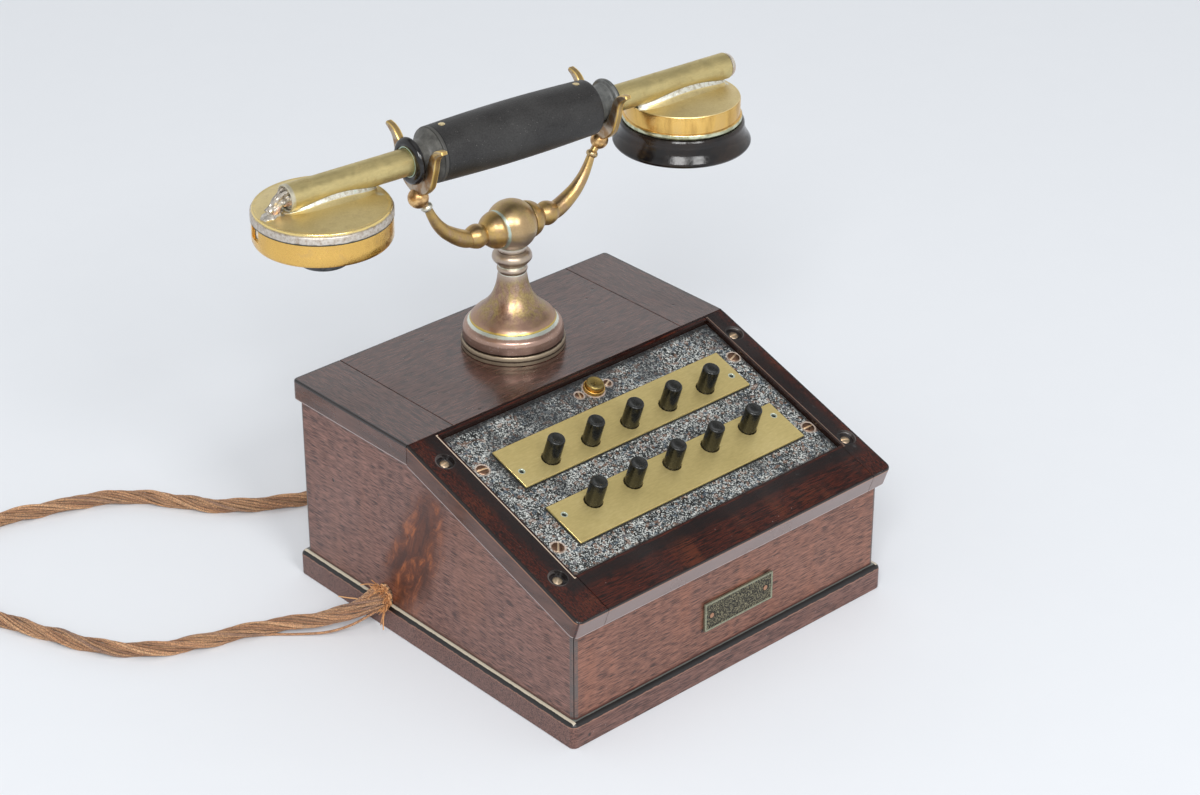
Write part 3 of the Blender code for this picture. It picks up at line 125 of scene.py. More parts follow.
class Finish:
    """A finish in the making: its shader, its colour so far, and the patterns that it mixes."""

    def __init__(self, name, roughness, metallic=0.0):
        self.made = bpy.data.materials.new(name)
        self.made.use_nodes = True
        self.tree = self.made.node_tree
        self.shader = self.tree.nodes["Principled BSDF"]
        self.set(Roughness=roughness, Metallic=metallic)
        self.here = Pattern(self, self.node("TexCoord").outputs["Object"])

    def node(self, kind, **settings):
        made = self.tree.nodes.new("ShaderNode" + kind)
        for name, value in settings.items():
            setattr(made, name, value)
        return made

    def feed(self, socket, value):
        if isinstance(value, Pattern):
            self.tree.links.new(value.socket, socket)
        else:
            socket.default_value = value

    def fill(self, made, **values):
        """Sets or links a node's sockets; a name's underscores are its spaces."""
        for name, value in values.items():
            self.feed(made.inputs[name.replace("_", " ")], value)

    def set(self, **values):
        """Sets or links the shader's own sockets."""
        self.fill(self.shader, **values)

    def paint(self, colour):
        """Gives the finish its ground colour."""
        self.colour = colour
        self.set(Base_Color=colour)

    def lay(self, share, colour):
        """Covers a share of the colour so far with another."""
        self.paint(self.mix(share, self.colour, colour))

    def mix(self, share, first, second):
        made = self.node("Mix", data_type="RGBA")
        self.feed(made.inputs[0], share)
        for socket, value in zip((made.inputs[6], made.inputs[7]), (first, second)):
            self.feed(socket, value if isinstance(value, Pattern) else (*value, 1))
        return Pattern(self, made.outputs[2])

    def math(self, operation, first, second=0.5):
        made = self.node("Math", operation=operation)
        self.feed(made.inputs[0], first)
        self.feed(made.inputs[1], second)
        return Pattern(self, made.outputs[0])

    def turned(self, place=(0, 0, 0), turn=(0, 0, 0), size=(1, 1, 1), at=None):
        """Coordinates seen from axes at a place, turned and stretched."""
        made = self.node("Mapping", vector_type="TEXTURE")
        self.fill(made, Vector=at or self.here, Location=place, Rotation=turn, Scale=size)
        return Pattern(self, made.outputs[0])

    def away(self, **axes):
        """Distance from the place of such axes."""
        made = self.node("VectorMath", operation="LENGTH")
        self.feed(made.inputs[0], self.turned(**axes))
        return Pattern(self, made.outputs["Value"])

    def axis(self, name, at=None):
        made = self.node("SeparateXYZ")
        self.feed(made.inputs[0], at or self.here)
        return Pattern(self, made.outputs[name])

    def noise(self, scale, detail=3, rough=0.5, at=None, swirl=0):
        made = self.node("TexNoise")
        self.fill(made, Vector=at or self.here, Scale=scale, Detail=detail, Roughness=rough, Distortion=swirl)
        return Pattern(self, made.outputs["Fac"])

    def cells(self, scale, output="Distance"):
        made = self.node("TexVoronoi")
        self.fill(made, Vector=self.here, Scale=scale)
        return Pattern(self, made.outputs[output])

    def stored(self, name):
        """A value that a piece's mesh holds."""
        return Pattern(self, self.node("Attribute", attribute_name=name).outputs["Fac"])

    def bump(self, height, distance, strength):
        """Adds relief of a real height, in metres, to what the shader's normal already has."""
        made = self.node("Bump")
        self.fill(made, Strength=strength, Distance=distance, Height=height)
        for before in self.shader.inputs["Normal"].links:
            self.tree.links.new(before.from_socket, made.inputs["Normal"])
        self.tree.links.new(made.outputs[0], self.shader.inputs["Normal"])


def add_piece(name, mesh, finish, body, slot, *nodes_replaced):
    """Puts a finished mesh in the scene as a piece of the telephone."""
    thing = put(name, mesh)
    mesh.name = name
    mesh.materials.clear()
    mesh.materials.append(finish.made)
    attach(thing, body)
    if nodes_replaced:
        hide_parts(*nodes_replaced)
    return thing


def smooth_line(points, count):
    """Evenly spaced points on a Catmull-Rom curve through the given points."""
    spots = [Vector(p) for p in points]
    spots = [spots[0] * 2 - spots[1]] + spots + [spots[-1] * 2 - spots[-2]]
    fine = []
    steps = 24
    for a, b, c, d in zip(spots, spots[1:], spots[2:], spots[3:]):
        for i in range(steps):
            t = i / steps
            fine.append(((2 * b) + (c - a) * t + (2 * a - 5 * b + 4 * c - d) * t * t
                         + (3 * b - a - 3 * c + d) * t ** 3) / 2)
    fine.append(spots[-2])
    lengths = [0]
    for a, b in zip(fine, fine[1:]):
        lengths.append(lengths[-1] + (b - a).length)
    path = []
    at = 0
    for i in range(count):
        want = lengths[-1] * i / (count - 1)
        while at < len(fine) - 2 and lengths[at + 1] < want:
            at += 1
        span = lengths[at + 1] - lengths[at]
        path.append(fine[at].lerp(fine[at + 1], (want - lengths[at]) / span))
    return path


def swept_mesh(lines, sides=2):
    """Round strands along lines of (point, radius) pairs. Each strand's shade is stored on its faces."""
    whole = bmesh.new()
    shade = whole.faces.layers.float.new("strand")
    for number, line in enumerate(lines):
        curve = bpy.data.curves.new("strand", "CURVE")
        curve.dimensions = "3D"
        curve.bevel_depth = 1
        curve.bevel_resolution = sides
        curve.use_fill_caps = True
        run = curve.splines.new("POLY")
        run.points.add(len(line) - 1)
        for spot, (centre, radius) in zip(run.points, line):
            spot.co = (*centre, 1)
            spot.radius = radius
        thing = put("strand", curve)
        mesh = bpy.data.meshes.new_from_object(thing)
        had = len(whole.faces)
        whole.from_mesh(mesh)
        whole.faces.ensure_lookup_table()
        for face in whole.faces[had:]:
            face[shade] = (number * 0.618) % 1
        bpy.data.objects.remove(thing)
        bpy.data.meshes.remove(mesh)
        bpy.data.curves.remove(curve)
    bmesh.ops.remove_doubles(whole, verts=whole.verts, dist=1e-6)
    bmesh.ops.recalc_face_normals(whole, faces=whole.faces)
    mesh = bpy.data.meshes.new("strands")
    whole.to_mesh(mesh)
    whole.free()
    mesh.shade_smooth()
    return mesh


cable_route = [
    (-0.0842, 0.0330, 0.0166), (-0.0900, 0.0330, 0.0166), (-0.0965, 0.0336, 0.0158),
    (-0.1035, 0.0362, 0.0132), (-0.1105, 0.0414, 0.0098), (-0.1180, 0.0490, 0.0068),
    (-0.1290, 0.0588, 0.0044), (-0.1420, 0.0660, 0.0034), (-0.1620, 0.0730, 0.0033),
    (-0.1815, 0.0825, 0.0033), (-0.1962, 0.0990, 0.0033), (-0.2070, 0.1220, 0.0033),
    (-0.2166, 0.1470, 0.0033), (-0.2235, 0.1720, 0.0033), (-0.2225, 0.1960, 0.0033),
    (-0.2100, 0.2130, 0.0033), (-0.1910, 0.2200, 0.0033), (-0.1712, 0.2185, 0.0033),
    (-0.1491, 0.2115, 0.0033), (-0.1275, 0.2030, 0.0033), (-0.1120, 0.1915, 0.0033),
    (-0.1005, 0.1755, 0.0033), (-0.0905, 0.1610, 0.0033), (-0.0775, 0.1505, 0.0033),
    (-0.0620, 0.1415, 0.0033), (-0.0450, 0.1355, 0.0033), (-0.0280, 0.1320, 0.0033),
    (-0.0130, 0.1275, 0.0035), (-0.0020, 0.1195, 0.0058), (0.0040, 0.1105, 0.0106),
    (0.0055, 0.1015, 0.0152), (0.0055, 0.0940, 0.0166), (0.0055, 0.0842, 0.0166)]
cable_diameter = 0.0066
wire_radius = 0.00058
wires_outside = 12
wire_ring = cable_diameter / 2 - wire_radius
cable_core = 0.0019
twist_pitch = 0.062
cable_steps = 420
cable_line = [Vector((p.x, p.y, max(p.z, cable_diameter / 2)))
              for p in smooth_line(cable_route, cable_steps)]
cable_length = sum((b - a).length for a, b in zip(cable_line, cable_line[1:]))
step_length = cable_length / (cable_steps - 1)
cable_frames = []
for i, here in enumerate(cable_line):
    ahead = (cable_line[min(i + 1, cable_steps - 1)] - cable_line[max(i - 1, 0)]).normalized()
    side = ahead.cross(Vector((0, 0, 1))).normalized()
    cable_frames.append((here, side, side.cross(ahead)))
cable_wires = []
for wire in range(wires_outside):
    start = math.tau * wire / wires_outside
    strand = []
    for i, (here, side, up) in enumerate(cable_frames):
        run = i * step_length
        wander = noise.noise(Vector((run * 22, wire * 7.3, 0.5)))
        shift = noise.noise(Vector((run * 16, wire * 5.1, 8.5)))
        turn = start - 0.13 * math.sin(3 * start) - math.tau * run / twist_pitch + 0.30 * wander
        spread = max(0.0, 1 - abs(run - 0.012) / 0.030)
        out = wire_ring * (0.98 + 0.13 * math.cos(3 * start) + 0.10 * shift + (0.20 + 0.2 * shift) * spread)
        spot = here + side * math.cos(turn) * out + up * math.sin(turn) * out
        spot.z = max(spot.z, wire_radius)
        strand.append((spot, wire_radius * (1 + 0.12 * wander)))
    cable_wires.append(strand)
cable_wires.append([(here, cable_core) for here in cable_line])

wire_cotton = Finish("wire_cotton", 0.85)
cotton_thread = wire_cotton.cells(2300)
wire_cotton.paint(wire_cotton.stored("strand").ramp(
    (0.0, (0.64, 0.33, 0.165)), (0.22, (0.36, 0.175, 0.090)), (0.45, (0.84, 0.49, 0.26)),
    (0.68, (0.26, 0.130, 0.075)), (0.86, (0.70, 0.38, 0.20)), (0.96, (0.24, 0.15, 0.12)),
    (1.0, (0.045, 0.026, 0.018))))
wire_cotton.lay(wire_cotton.noise(55, 3).rise(0.35, 0.7, 0.55), (0.68, 0.40, 0.21))
wire_cotton.lay(cotton_thread.rise(0.25, 0.65, 0.70), (0.09, 0.045, 0.025))
wire_cotton.set(Sheen_Weight=0.25, Sheen_Roughness=0.4)
wire_cotton.bump(cotton_thread, 0.00025, 0.7)
line_cable = add_piece("covered_wires", swept_mesh(cable_wires), wire_cotton, "console", "brown_cloth",
                       "line_cable")

# Ruff and stray wires. The cotton covers end in a frayed ruff where the wires enter the left wall, of
# loose threads, each a thin tapering strand. Some wires splay out there, and one strays from the rest.
fray_place = Vector((-0.0926, 0.0330, 0.0150))
fray_reach = 0.0052
fray_flat = 0.85
fray_back = -0.0906
fray_random = random.Random(7)
fray_lines = []
for i in range(230):
    around = fray_random.uniform(0, math.tau)
    out = fray_reach * fray_random.uniform(0.72, 1.05)
    is_long = i % 23 == 0
    reach = fray_random.uniform(0.0080, 0.0125) if is_long else fray_random.uniform(0.0012, 0.0034)
    lean = fray_random.uniform(0.4, 1.3)
    root = fray_place + Vector((fray_random.uniform(-0.0020, 0.0016), math.cos(around) * out * fray_flat,
                                math.sin(around) * out))
    aim = Vector((-1, lean * math.cos(around), 1.1 * lean * math.sin(around) + 0.3 * is_long)).normalized()
    curl = Vector([fray_random.uniform(-0.45, 0.45) for axis in range(3)])
    thread = []
    for step in range(5):
        t = step / 4
        spot = root + (aim + curl * t) * reach * t
        spot.x = min(spot.x, fray_back)
        thread.append((spot, 0.00034 * (1 - (0.3 if is_long else 0.7) * t)))
    fray_lines.append(thread)
for i in range(46):
    around = math.tau * i / 46
    out = 0.0050 * (1 + 0.10 * math.sin(i * 5.1))
    ring = []
    for step in range(5):
        t = step / 4 - 0.5
        ring.append((fray_place + Vector((0.0010 + 0.0006 * math.sin(i * 2.3) + 0.0010 * t * math.cos(i),
                                          math.cos(around + t * 0.5) * out * fray_flat,
                                          math.sin(around + t * 0.5) * out)), 0.00040))
    fray_lines.append(ring)
fray_cotton = Finish("fray_cotton", 0.9)
fray_cotton.paint(fray_cotton.stored("strand").ramp((0.0, (0.72, 0.36, 0.14)), (0.4, (0.42, 0.19, 0.08)),
                                                    (0.7, (0.85, 0.48, 0.22)), (1.0, (0.34, 0.15, 0.07))))
fray = add_piece("frayed_threads", swept_mesh(fray_lines, 1), fray_cotton, "console", "brown_cloth")

stray_route = [(-0.0930, 0.0325, 0.0105), (-0.1000, 0.0330, 0.0088), (-0.1080, 0.0368, 0.0052),
               (-0.1160, 0.0432, 0.0022), (-0.1250, 0.0518, 0.0010), (-0.1340, 0.0598, 0.0009),
               (-0.1430, 0.0656, 0.0012)]
stray_lines = [[(p, wire_radius) for p in smooth_line(stray_route, 60)]]
for i in range(13):
    around = math.tau * i / 13
    splayed = []
    for step in range(24):
        t = step / 23
        here, side, up = cable_frames[int((0.006 + 0.034 * t) / step_length)]
        out = 0.0047 * (1 - t) ** 1.3 + 0.0022 * (1 - (1 - t) ** 1.3)
        sag = Vector((0, 0, -0.0014 * (1 - t)))
        spot = here + side * math.cos(around - t) * out * 0.8 + up * math.sin(around - t) * out + sag
        spot += Vector([0.0003 * noise.noise(Vector((t * 5, i * 3.7, axis * 9.1))) for axis in range(3)])
        spot.z = max(spot.z, wire_radius)
        splayed.append((spot, wire_radius))
    stray_lines.append(splayed)
stray_wire = add_piece("stray_wires", swept_mesh(stray_lines), wire_cotton, "console", "brown_cloth")

# Studio. A pale seamless table top, one large soft lamp on each side of the camera,
# and a room that is bright low down and darker overhead.
table_shape = bmesh.new()
bmesh.ops.create_grid(table_shape, x_segments=1, y_segments=1, size=4)
table_mesh = bpy.data.meshes.new("table_top")
table_shape.to_mesh(table_mesh)
table_shape.free()
table = Finish("table_top", 0.75)
table.paint(table.mix(table.noise(40, 2).rise(0.3, 0.7, 0.25), (0.80, 0.826, 0.862), (0.785, 0.812, 0.85)))
table.set(Specular_IOR_Level=0.2)
table_mesh.materials.append(table.made)
put("table_top", table_mesh)
for name, place, power, side in (("soft_left", (-1.96, -1.84, 2.36), 58.0, 1.20),
                                 ("soft_right", (-0.56, -2.76, 2.16), 38.0, 1.00)):
    lamp = bpy.data.lights.new(name, "AREA")
    lamp.energy = power
    lamp.size = side
    holder = put(name, lamp)
    holder.location = place
    holder.rotation_euler = (Vector((0, 0, 0.08)) - Vector(place)).to_track_quat("-Z", "Y").to_euler()
room = bpy.data.worlds.new("room")
bpy.context.scene.world = room
room.use_nodes = True
new_node, join = room.node_tree.nodes.new, room.node_tree.links.new
height = new_node("ShaderNodeSeparateXYZ")
shades = new_node("ShaderNodeValToRGB")
join(new_node("ShaderNodeTexCoord").outputs["Generated"], height.inputs[0])
join(height.outputs["Z"], shades.inputs[0])
join(shades.outputs[0], room.node_tree.nodes["Background"].inputs[0])
levels = shades.color_ramp.elements
for element, (place, value) in zip([levels[0], levels[1], levels.new(0.5), levels.new(0.72)],
                                   ((0.0, 0.90), (1.0, 0.09), (0.56, 0.80), (0.76, 0.12))):
    element.position = place
    element.color = (value * 0.985, value, value * 1.02, 1)

# Plinth board and walls. Mahogany boards, French polished and worn to a satin sheen. The four walls
# are mitred, with their corners rounded and painted greyer, and stand a little back on the plinth, whose
# black moulding has a painted pale highlight line where it meets them, just below painted shade on the walls'
# foot.
weld = 0.00002
corner_radius = 0.0025
plinth_radius = 0.0025
plinth_low, plinth_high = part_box("base_board")
wall_face = -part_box("side_left")[0].x


def clean_copy(node):
    """A CAD board's shape, its loose triangles merged into whole faces."""
    shape = bmesh.new()
    shape.from_mesh(nodes[node].data)
    bmesh.ops.remove_doubles(shape, verts=shape.verts, dist=weld)
    bmesh.ops.dissolve_limit(shape, angle_limit=math.radians(0.5), verts=shape.verts, edges=shape.edges)
    return shape


def plane_off(shape, point, normal):
    """Takes off what stands proud of a plane, and closes the cut."""
    everything = shape.verts[:] + shape.edges[:] + shape.faces[:]
    cut = bmesh.ops.bisect_plane(shape, geom=everything, dist=1e-6, plane_co=point, plane_no=normal,
                                 clear_outer=True)
    rim = [part for part in cut["geom_cut"] if isinstance(part, bmesh.types.BMEdge)]
    if rim:
        bmesh.ops.contextual_create(shape, geom=rim)


def ease_edges(shape, radius, segments, wanted=None, sharp=30, mark=1):
    """Rounds the sharp edges, or those of them that are wanted, and marks the new faces as arris."""
    arris = shape.faces.layers.float.get("arris") or shape.faces.layers.float.new("arris")
    chosen = [edge for edge in shape.edges if len(edge.link_faces) == 2
              and edge.calc_face_angle() > math.radians(sharp)
              and (wanted is None or wanted((edge.verts[0].co + edge.verts[1].co) / 2,
                                            (edge.verts[1].co - edge.verts[0].co).normalized()))]
    made = bmesh.ops.bevel(shape, geom=chosen, offset=radius, segments=segments, profile=0.5,
                           affect="EDGES", material=-1, clamp_overlap=True)
    for face in made["faces"]:
        face[arris] = mark


def board_mesh(shape, name, sharp=40):
    """The finished mesh of a board, flat where it is flat and smooth round its eased edges."""
    mesh = bpy.data.meshes.new(name)
    shape.normal_update()
    shape.to_mesh(mesh)
    shape.free()
    mesh.shade_smooth()
    mesh.set_sharp_from_angle(angle=math.radians(sharp))
    return mesh


def add_board(name, shape, finish, slot, node):
    board = add_piece(name, board_mesh(shape, name), finish, "console", slot, node)
    board.modifiers.new("flat_faces", "WEIGHTED_NORMAL").keep_sharp = True


def polished_mahogany(name, grain, dark, light, band, roughness, coat):
    """Red mahogany: fine fibres and short dark pores along the grain, paler bands across it, and bruises."""
    wood = Finish(name, roughness)

    def stretched(along, across=1.0):
        return wood.turned(size=[along if axis == grain else across for axis in "XYZ"])

    fibre = wood.noise(1700, 3, 0.6, stretched(10.0))
    line = wood.noise(420, 3, 0.6, stretched(14.0))
    pore = wood.noise(2000, 2, 0.5, stretched(12.0))
    figure = wood.noise(58, 4, 0.6, stretched(1.0, 3.2), 0.5)
    cloud = wood.noise(17, 4, 0.6, swirl=0.4)
    wood.paint((fibre * 0.72 + (line * 0.16 + cloud * 0.12)).ramp((0.38, dark), (0.58, light)))
    wood.lay(figure.rise(0.50, 0.68, 0.28), band)
    wood.lay(pore.rise(0.50, 0.68, 0.85), [value * 0.25 for value in dark])
    dent = (wood.cells(85) + wood.noise(700, 3, 0.6) * 0.10).fade(0.08, 0.15)
    bruise = dent * wood.noise(46, 1).rise(0.46, 0.54)
    wood.lay(bruise * 0.85, (0.012, 0.009, 0.009))
    fleck = wood.cells(330).fade(0.05, 0.10) * wood.noise(90, 1).rise(0.55, 0.62)
    wood.lay(fleck * 0.5, (0.36, 0.31, 0.29))
    wood.set(Coat_Weight=coat, Coat_Roughness=0.14,
             Roughness=wood.noise(30, 4).grade(0.3, 0.75, roughness - 0.07, roughness + 0.13))
    wood.bump(fibre - pore, 0.00012, 0.40)
    wood.bump(bruise * -1, 0.00040, 0.8)
    wood.bump(wood.noise(60, 2), 0.0009, 0.08)
    return wood


wall_finishes = {
    "X": polished_mahogany("polished_front", "X", (0.062, 0.021, 0.014), (0.268, 0.115, 0.076),
                           (0.300, 0.108, 0.056), 0.42, 0.20),
    "Y": polished_mahogany("polished_side", "Y", (0.062, 0.023, 0.018), (0.252, 0.118, 0.090),
                           (0.260, 0.110, 0.068), 0.42, 0.20)}
for finish in wall_finishes.values():
    near_face = [abs(finish.axis(axis)).rise(0.0874, 0.0878) for axis in "XY"]
    # The rounded vertical corners are painted greyer, more in some patches.
    greyed_corner = near_face[0] * near_face[1] * finish.noise(160, 3).grade(0.3, 0.6, 0.45, 0.85)
    finish.lay(greyed_corner, (0.085, 0.078, 0.075))
    # Painted shade along the foot of each wall, where it meets the plinth.
    shaded_foot = (finish.axis("Z") + finish.noise(300, 3) * 0.0012).fade(0.0137, 0.0147, 0.85)
    finish.lay(shaded_foot, (0.060, 0.014, 0.008))

# Dark varnish has run down the left wall above the cable's notch and stayed redder and glossier.
stain = wall_finishes["Y"]
stain_place = stain.turned(place=(-0.090, 0.0125, 0.045), turn=(math.radians(24), 0, 0),
                           size=(1, 0.0145, 0.041))
stain_edge = stain.away(size=(1000, 1, 1), at=stain_place) + stain.noise(1.6, 4, 0.6, stain_place) * 0.9
stain_share = stain_edge.fade(0.95, 1.75, 0.95) * stain.axis("X").fade(-0.086, -0.084)
stain.lay(stain_share, stain.noise(2.6, 5, 0.68, stain_place, 0.6).ramp(
    (0.40, (0.046, 0.010, 0.004)), (0.54, (0.110, 0.027, 0.009)), (0.66, (0.330, 0.092, 0.024))))
stain.set(Coat_Weight=stain_share.grade(0.0, 0.9, 0.20, 0.04))

plinth = bmesh.new()
bmesh.ops.create_cube(plinth, size=1, matrix=Matrix.Translation((plinth_high + plinth_low) / 2)
                      @ Matrix.Diagonal((*(plinth_high - plinth_low), 1)))
ease_edges(plinth, 0.0028, 6, lambda middle, run: abs(run.z) > 0.9)
ease_edges(plinth, plinth_radius, 7, lambda middle, run: middle.z > plinth_high.z - 0.0001)
ease_edges(plinth, 0.0006, 2, lambda middle, run: middle.z < plinth_low.z + 0.0001)
moulding = polished_mahogany("polished_plinth", "X", (0.070, 0.028, 0.021), (0.195, 0.092, 0.072),
                             (0.210, 0.092, 0.062), 0.40, 0.2)
outward_x = abs(moulding.axis("X"))
ragged = (moulding.noise(260, 4, 0.7) - 0.5) * 0.0011
below_top = moulding.axis("Z") + ragged - plinth_high.z
moulding.lay(below_top.rise(-0.0019, -0.0016), (0.006, 0.005, 0.005))
moulding.lay(below_top.stripe(-0.0024, -0.0021, -0.0020, -0.0017, 0.6), (0.34, 0.18, 0.12))
on_flank = outward_x.rise(0.0899, 0.0900)
# A painted pale highlight line on the plinth's top rounding next to the walls: cream on the sides, grey on
# the front and back.
highlight_reach = on_flank.grade(0, 1, wall_face + 0.00045, wall_face + 0.00125)
from_wall = (outward_x | abs(moulding.axis("Y"))) + ragged * -0.5 - highlight_reach
moulding.lay(from_wall.fade(-0.0001, 0.0002, 0.92),
             moulding.mix(on_flank, (0.17, 0.18, 0.165), (0.62, 0.55, 0.43)))
add_board("plinth_board", plinth, moulding, "mahogany", "base_board")


def level_way(degrees):
    """The level direction at an angle round from the right."""
    return Vector((math.cos(math.radians(degrees)), math.sin(math.radians(degrees)), 0))


corner_steps = 4
for node, name, outward, neighbours in (
        ("side_left", "left_wall", 180, (90, 270)), ("side_right", "right_wall", 0, (90, 270)),
        ("front_board", "front_wall", 270, (180, 0)), ("back_board", "back_wall", 90, (180, 0))):
    wall = clean_copy(node)
    for neighbour in neighbours:
        sweep = (neighbour - outward + 180) % 360 - 180
        centre = (level_way(outward) + level_way(neighbour)) * (wall_face - corner_radius)
        for step in range(1, corner_steps + 1):
            normal = level_way(outward + math.copysign(45, sweep) * step / corner_steps)
            plane_off(wall, centre + normal * corner_radius, normal)
    wall.faces.layers.float.new("arris")
    add_board(name, wall, wall_finishes["X" if outward in (90, 270) else "Y"], "mahogany", node)

# Roof. A board between two end cleats, with the sloping frame in front: two stiles and two rails,
# rebated for the key panel. The boards' faces are dark with old polish, the flat roof duller and
# greyer; their edges are painted in the walls' colour.
roof_finish = polished_mahogany("greyed_roof", "X", (0.022, 0.009, 0.007), (0.108, 0.047, 0.036),
                                (0.100, 0.045, 0.034), 0.24, 0.55)
cleat_finish = polished_mahogany("greyed_cleat", "Y", (0.026, 0.011, 0.009), (0.108, 0.049, 0.038),
                                 (0.100, 0.046, 0.036), 0.24, 0.55)
rail_finish = polished_mahogany("dark_rail", "X", (0.006, 0.002, 0.002), (0.064, 0.011, 0.005),
                                (0.170, 0.044, 0.016), 0.20, 0.22)
stile_finish = polished_mahogany("dark_stile", "Y", (0.006, 0.002, 0.002), (0.064, 0.011, 0.005),
                                 (0.150, 0.038, 0.014), 0.20, 0.22)
lay_of_slope = (0, -0.096, 0.0639)
slope_angle = math.atan2(0.0368, 0.108)
to_slope = Matrix.Translation(lay_of_slope) @ Matrix.Rotation(slope_angle, 4, "X")
slope_back = to_slope.inverted()
across_only = (1, 1, 1000)
frame_screws = ((-0.0832, 0.0989, 10), (-0.0832, 0.0240, 40), (0.0865, 0.0989, 0), (0.0865, 0.0240, -20))


def on_slope(finish):
    """Coordinates across, up along and out of the sloping front."""
    return finish.turned(place=lay_of_slope, turn=(slope_angle, 0, 0))


for finish, sloping, low_node in ((roof_finish, False, "top_board"), (cleat_finish, False, "top_cleat_left"),
                                  (rail_finish, True, "frame_rail_front"),
                                  (stile_finish, True, "frame_stile_left")):
    board_place = on_slope(finish) if sloping else finish.here
    deep, level = finish.axis("Y", board_place), finish.axis("Z", board_place)
    outwards = abs(finish.axis("X"))
    on_end = deep.fade(0.0004, 0.0008) if sloping else deep.rise(0.0903, 0.0907)
    on_edge = outwards.rise(0.0916, 0.0920) | on_end
    finish.lay(on_edge, finish.noise(300, 4, 0.6, finish.turned(size=(5, 5, 1))).ramp(
        (0.3, (0.044, 0.017, 0.012)), (0.7, (0.112, 0.048, 0.034))))
    ragged = finish.noise(260, 3, 0.6) * 0.0008
    near_side = (outwards + ragged).rise(0.0915, 0.0917)
    if sloping:
        finish.lay(on_end * 0.7, (0.260, 0.200, 0.190))
        # A painted highlight line on the outer edge faces, just below the top arris.
        arris_highlight_line = level.stripe(-0.0014, -0.0011, -0.0009, -0.0006, 0.7)
        finish.lay(on_edge * arris_highlight_line, (0.40, 0.16, 0.07))
        arris = (near_side | (deep - ragged).fade(0.0003, 0.0007)) * level.rise(-0.0009, -0.0006)
    else:
        arris = (near_side | deep.rise(0.0895, 0.0899)) * level.rise(0.0995, 0.0997)
    finish.lay(arris * 0.95, (0.006, 0.004, 0.004))
    if sloping:
        slope_x = finish.axis("X", board_place)
        from_well = ((-0.0760 - slope_x) | (slope_x - 0.0809)) | ((0.0217 - deep) | (deep - 0.1115))
        # Painted shade on the frame's top close round the well.
        finish.lay(from_well.fade(0.0001, 0.0012), (0.016, 0.006, 0.004))
        # A pale painted highlight line along the well's left edge, fainter along its right.
        highlight_side = slope_x.fade(-0.0765, -0.0763) | slope_x.rise(0.0812, 0.0814, 0.2)
        well_highlight_line = from_well.stripe(0.00085, 0.0010, 0.0013, 0.0015)
        finish.lay(well_highlight_line * (highlight_side * 0.95), (0.62, 0.50, 0.38))
        for x, y, turn in frame_screws:
            # Painted shade in each screw's recess, with a grey ring round its rim.
            from_screw = finish.away(place=(x, y, 0), size=across_only, at=board_place)
            finish.lay(from_screw.fade(0.0042, 0.0048, 0.9), (0.010, 0.008, 0.008))
            finish.lay(from_screw.stripe(0.0036, 0.0040, 0.0043, 0.0047, 0.8), (0.10, 0.085, 0.080))
        finish.lay(from_well.stripe(0.0014, 0.0016, 0.0050, 0.0100, 0.85), (0.007, 0.005, 0.005))
        # The well's inner walls are painted near black as shade.
        finish.lay(from_well.fade(-0.0002, 0.0000, 0.95), (0.006, 0.004, 0.004))
    lowest = min((slope_back @ vert.co).z if sloping else vert.co.z for vert in nodes[low_node].data.vertices)
    finish.lay((on_edge - 0.15) * level.fade(lowest + 0.0003, lowest + 0.0005), (0.40, 0.34, 0.33))

arris_radius = 0.0009
frame_corner = 0.0032
for node, name, finish in (("top_board", "roof_board", roof_finish),
                           ("top_cleat_left", "left_cleat", cleat_finish),
                           ("top_cleat_right", "right_cleat", cleat_finish)):
    board = clean_copy(node)
    ease_edges(board, 0.0022, 5, lambda middle, run: abs(run.z) > 0.9 and middle.y > 0.08
               and abs(middle.x) > 0.08, mark=0)
    ease_edges(board, arris_radius, 3, lambda middle, run: middle.z > 0.1
               and (middle.y > 0.0895 or abs(middle.x) > 0.0915))
    ease_edges(board, 0.00016, 1, lambda middle, run: middle.z > 0.1 and abs(run.x) < 0.5
               and abs(middle.x) < 0.07)
    add_board(name, board, finish, "grey_mahogany", node)


def laid_flat(node):
    """A copy of a board of the sloping front, laid flat with its face at height zero."""
    shape = clean_copy(node)
    shape.transform(slope_back)
    return shape


for node, name, finish in (("frame_stile_left", "left_stile", stile_finish),
                           ("frame_stile_right", "right_stile", stile_finish),
                           ("frame_rail_front", "front_rail", rail_finish),
                           ("frame_rail_rear", "rear_rail", rail_finish)):
    board = laid_flat(node)
    ease_edges(board, frame_corner, 6, lambda middle, run: abs(run.z) > 0.9 and middle.y < 0.001
               and abs(middle.x) > 0.09, mark=0)
    ease_edges(board, arris_radius, 3, lambda middle, run: middle.z > -0.001 and abs(run.z) < 0.5
               and ((middle.y < 0.004 and abs(run.y) < 0.95) or abs(middle.x) > 0.0915))
    ease_edges(board, 0.0003, 2, lambda middle, run: middle.z > -0.0002 and abs(run.z) < 0.2
               and abs(middle.x) < 0.0815 and 0.02 < middle.y < 0.1115)
    board.transform(to_slope)
    add_board(name, board, finish, "dark_mahogany", node)

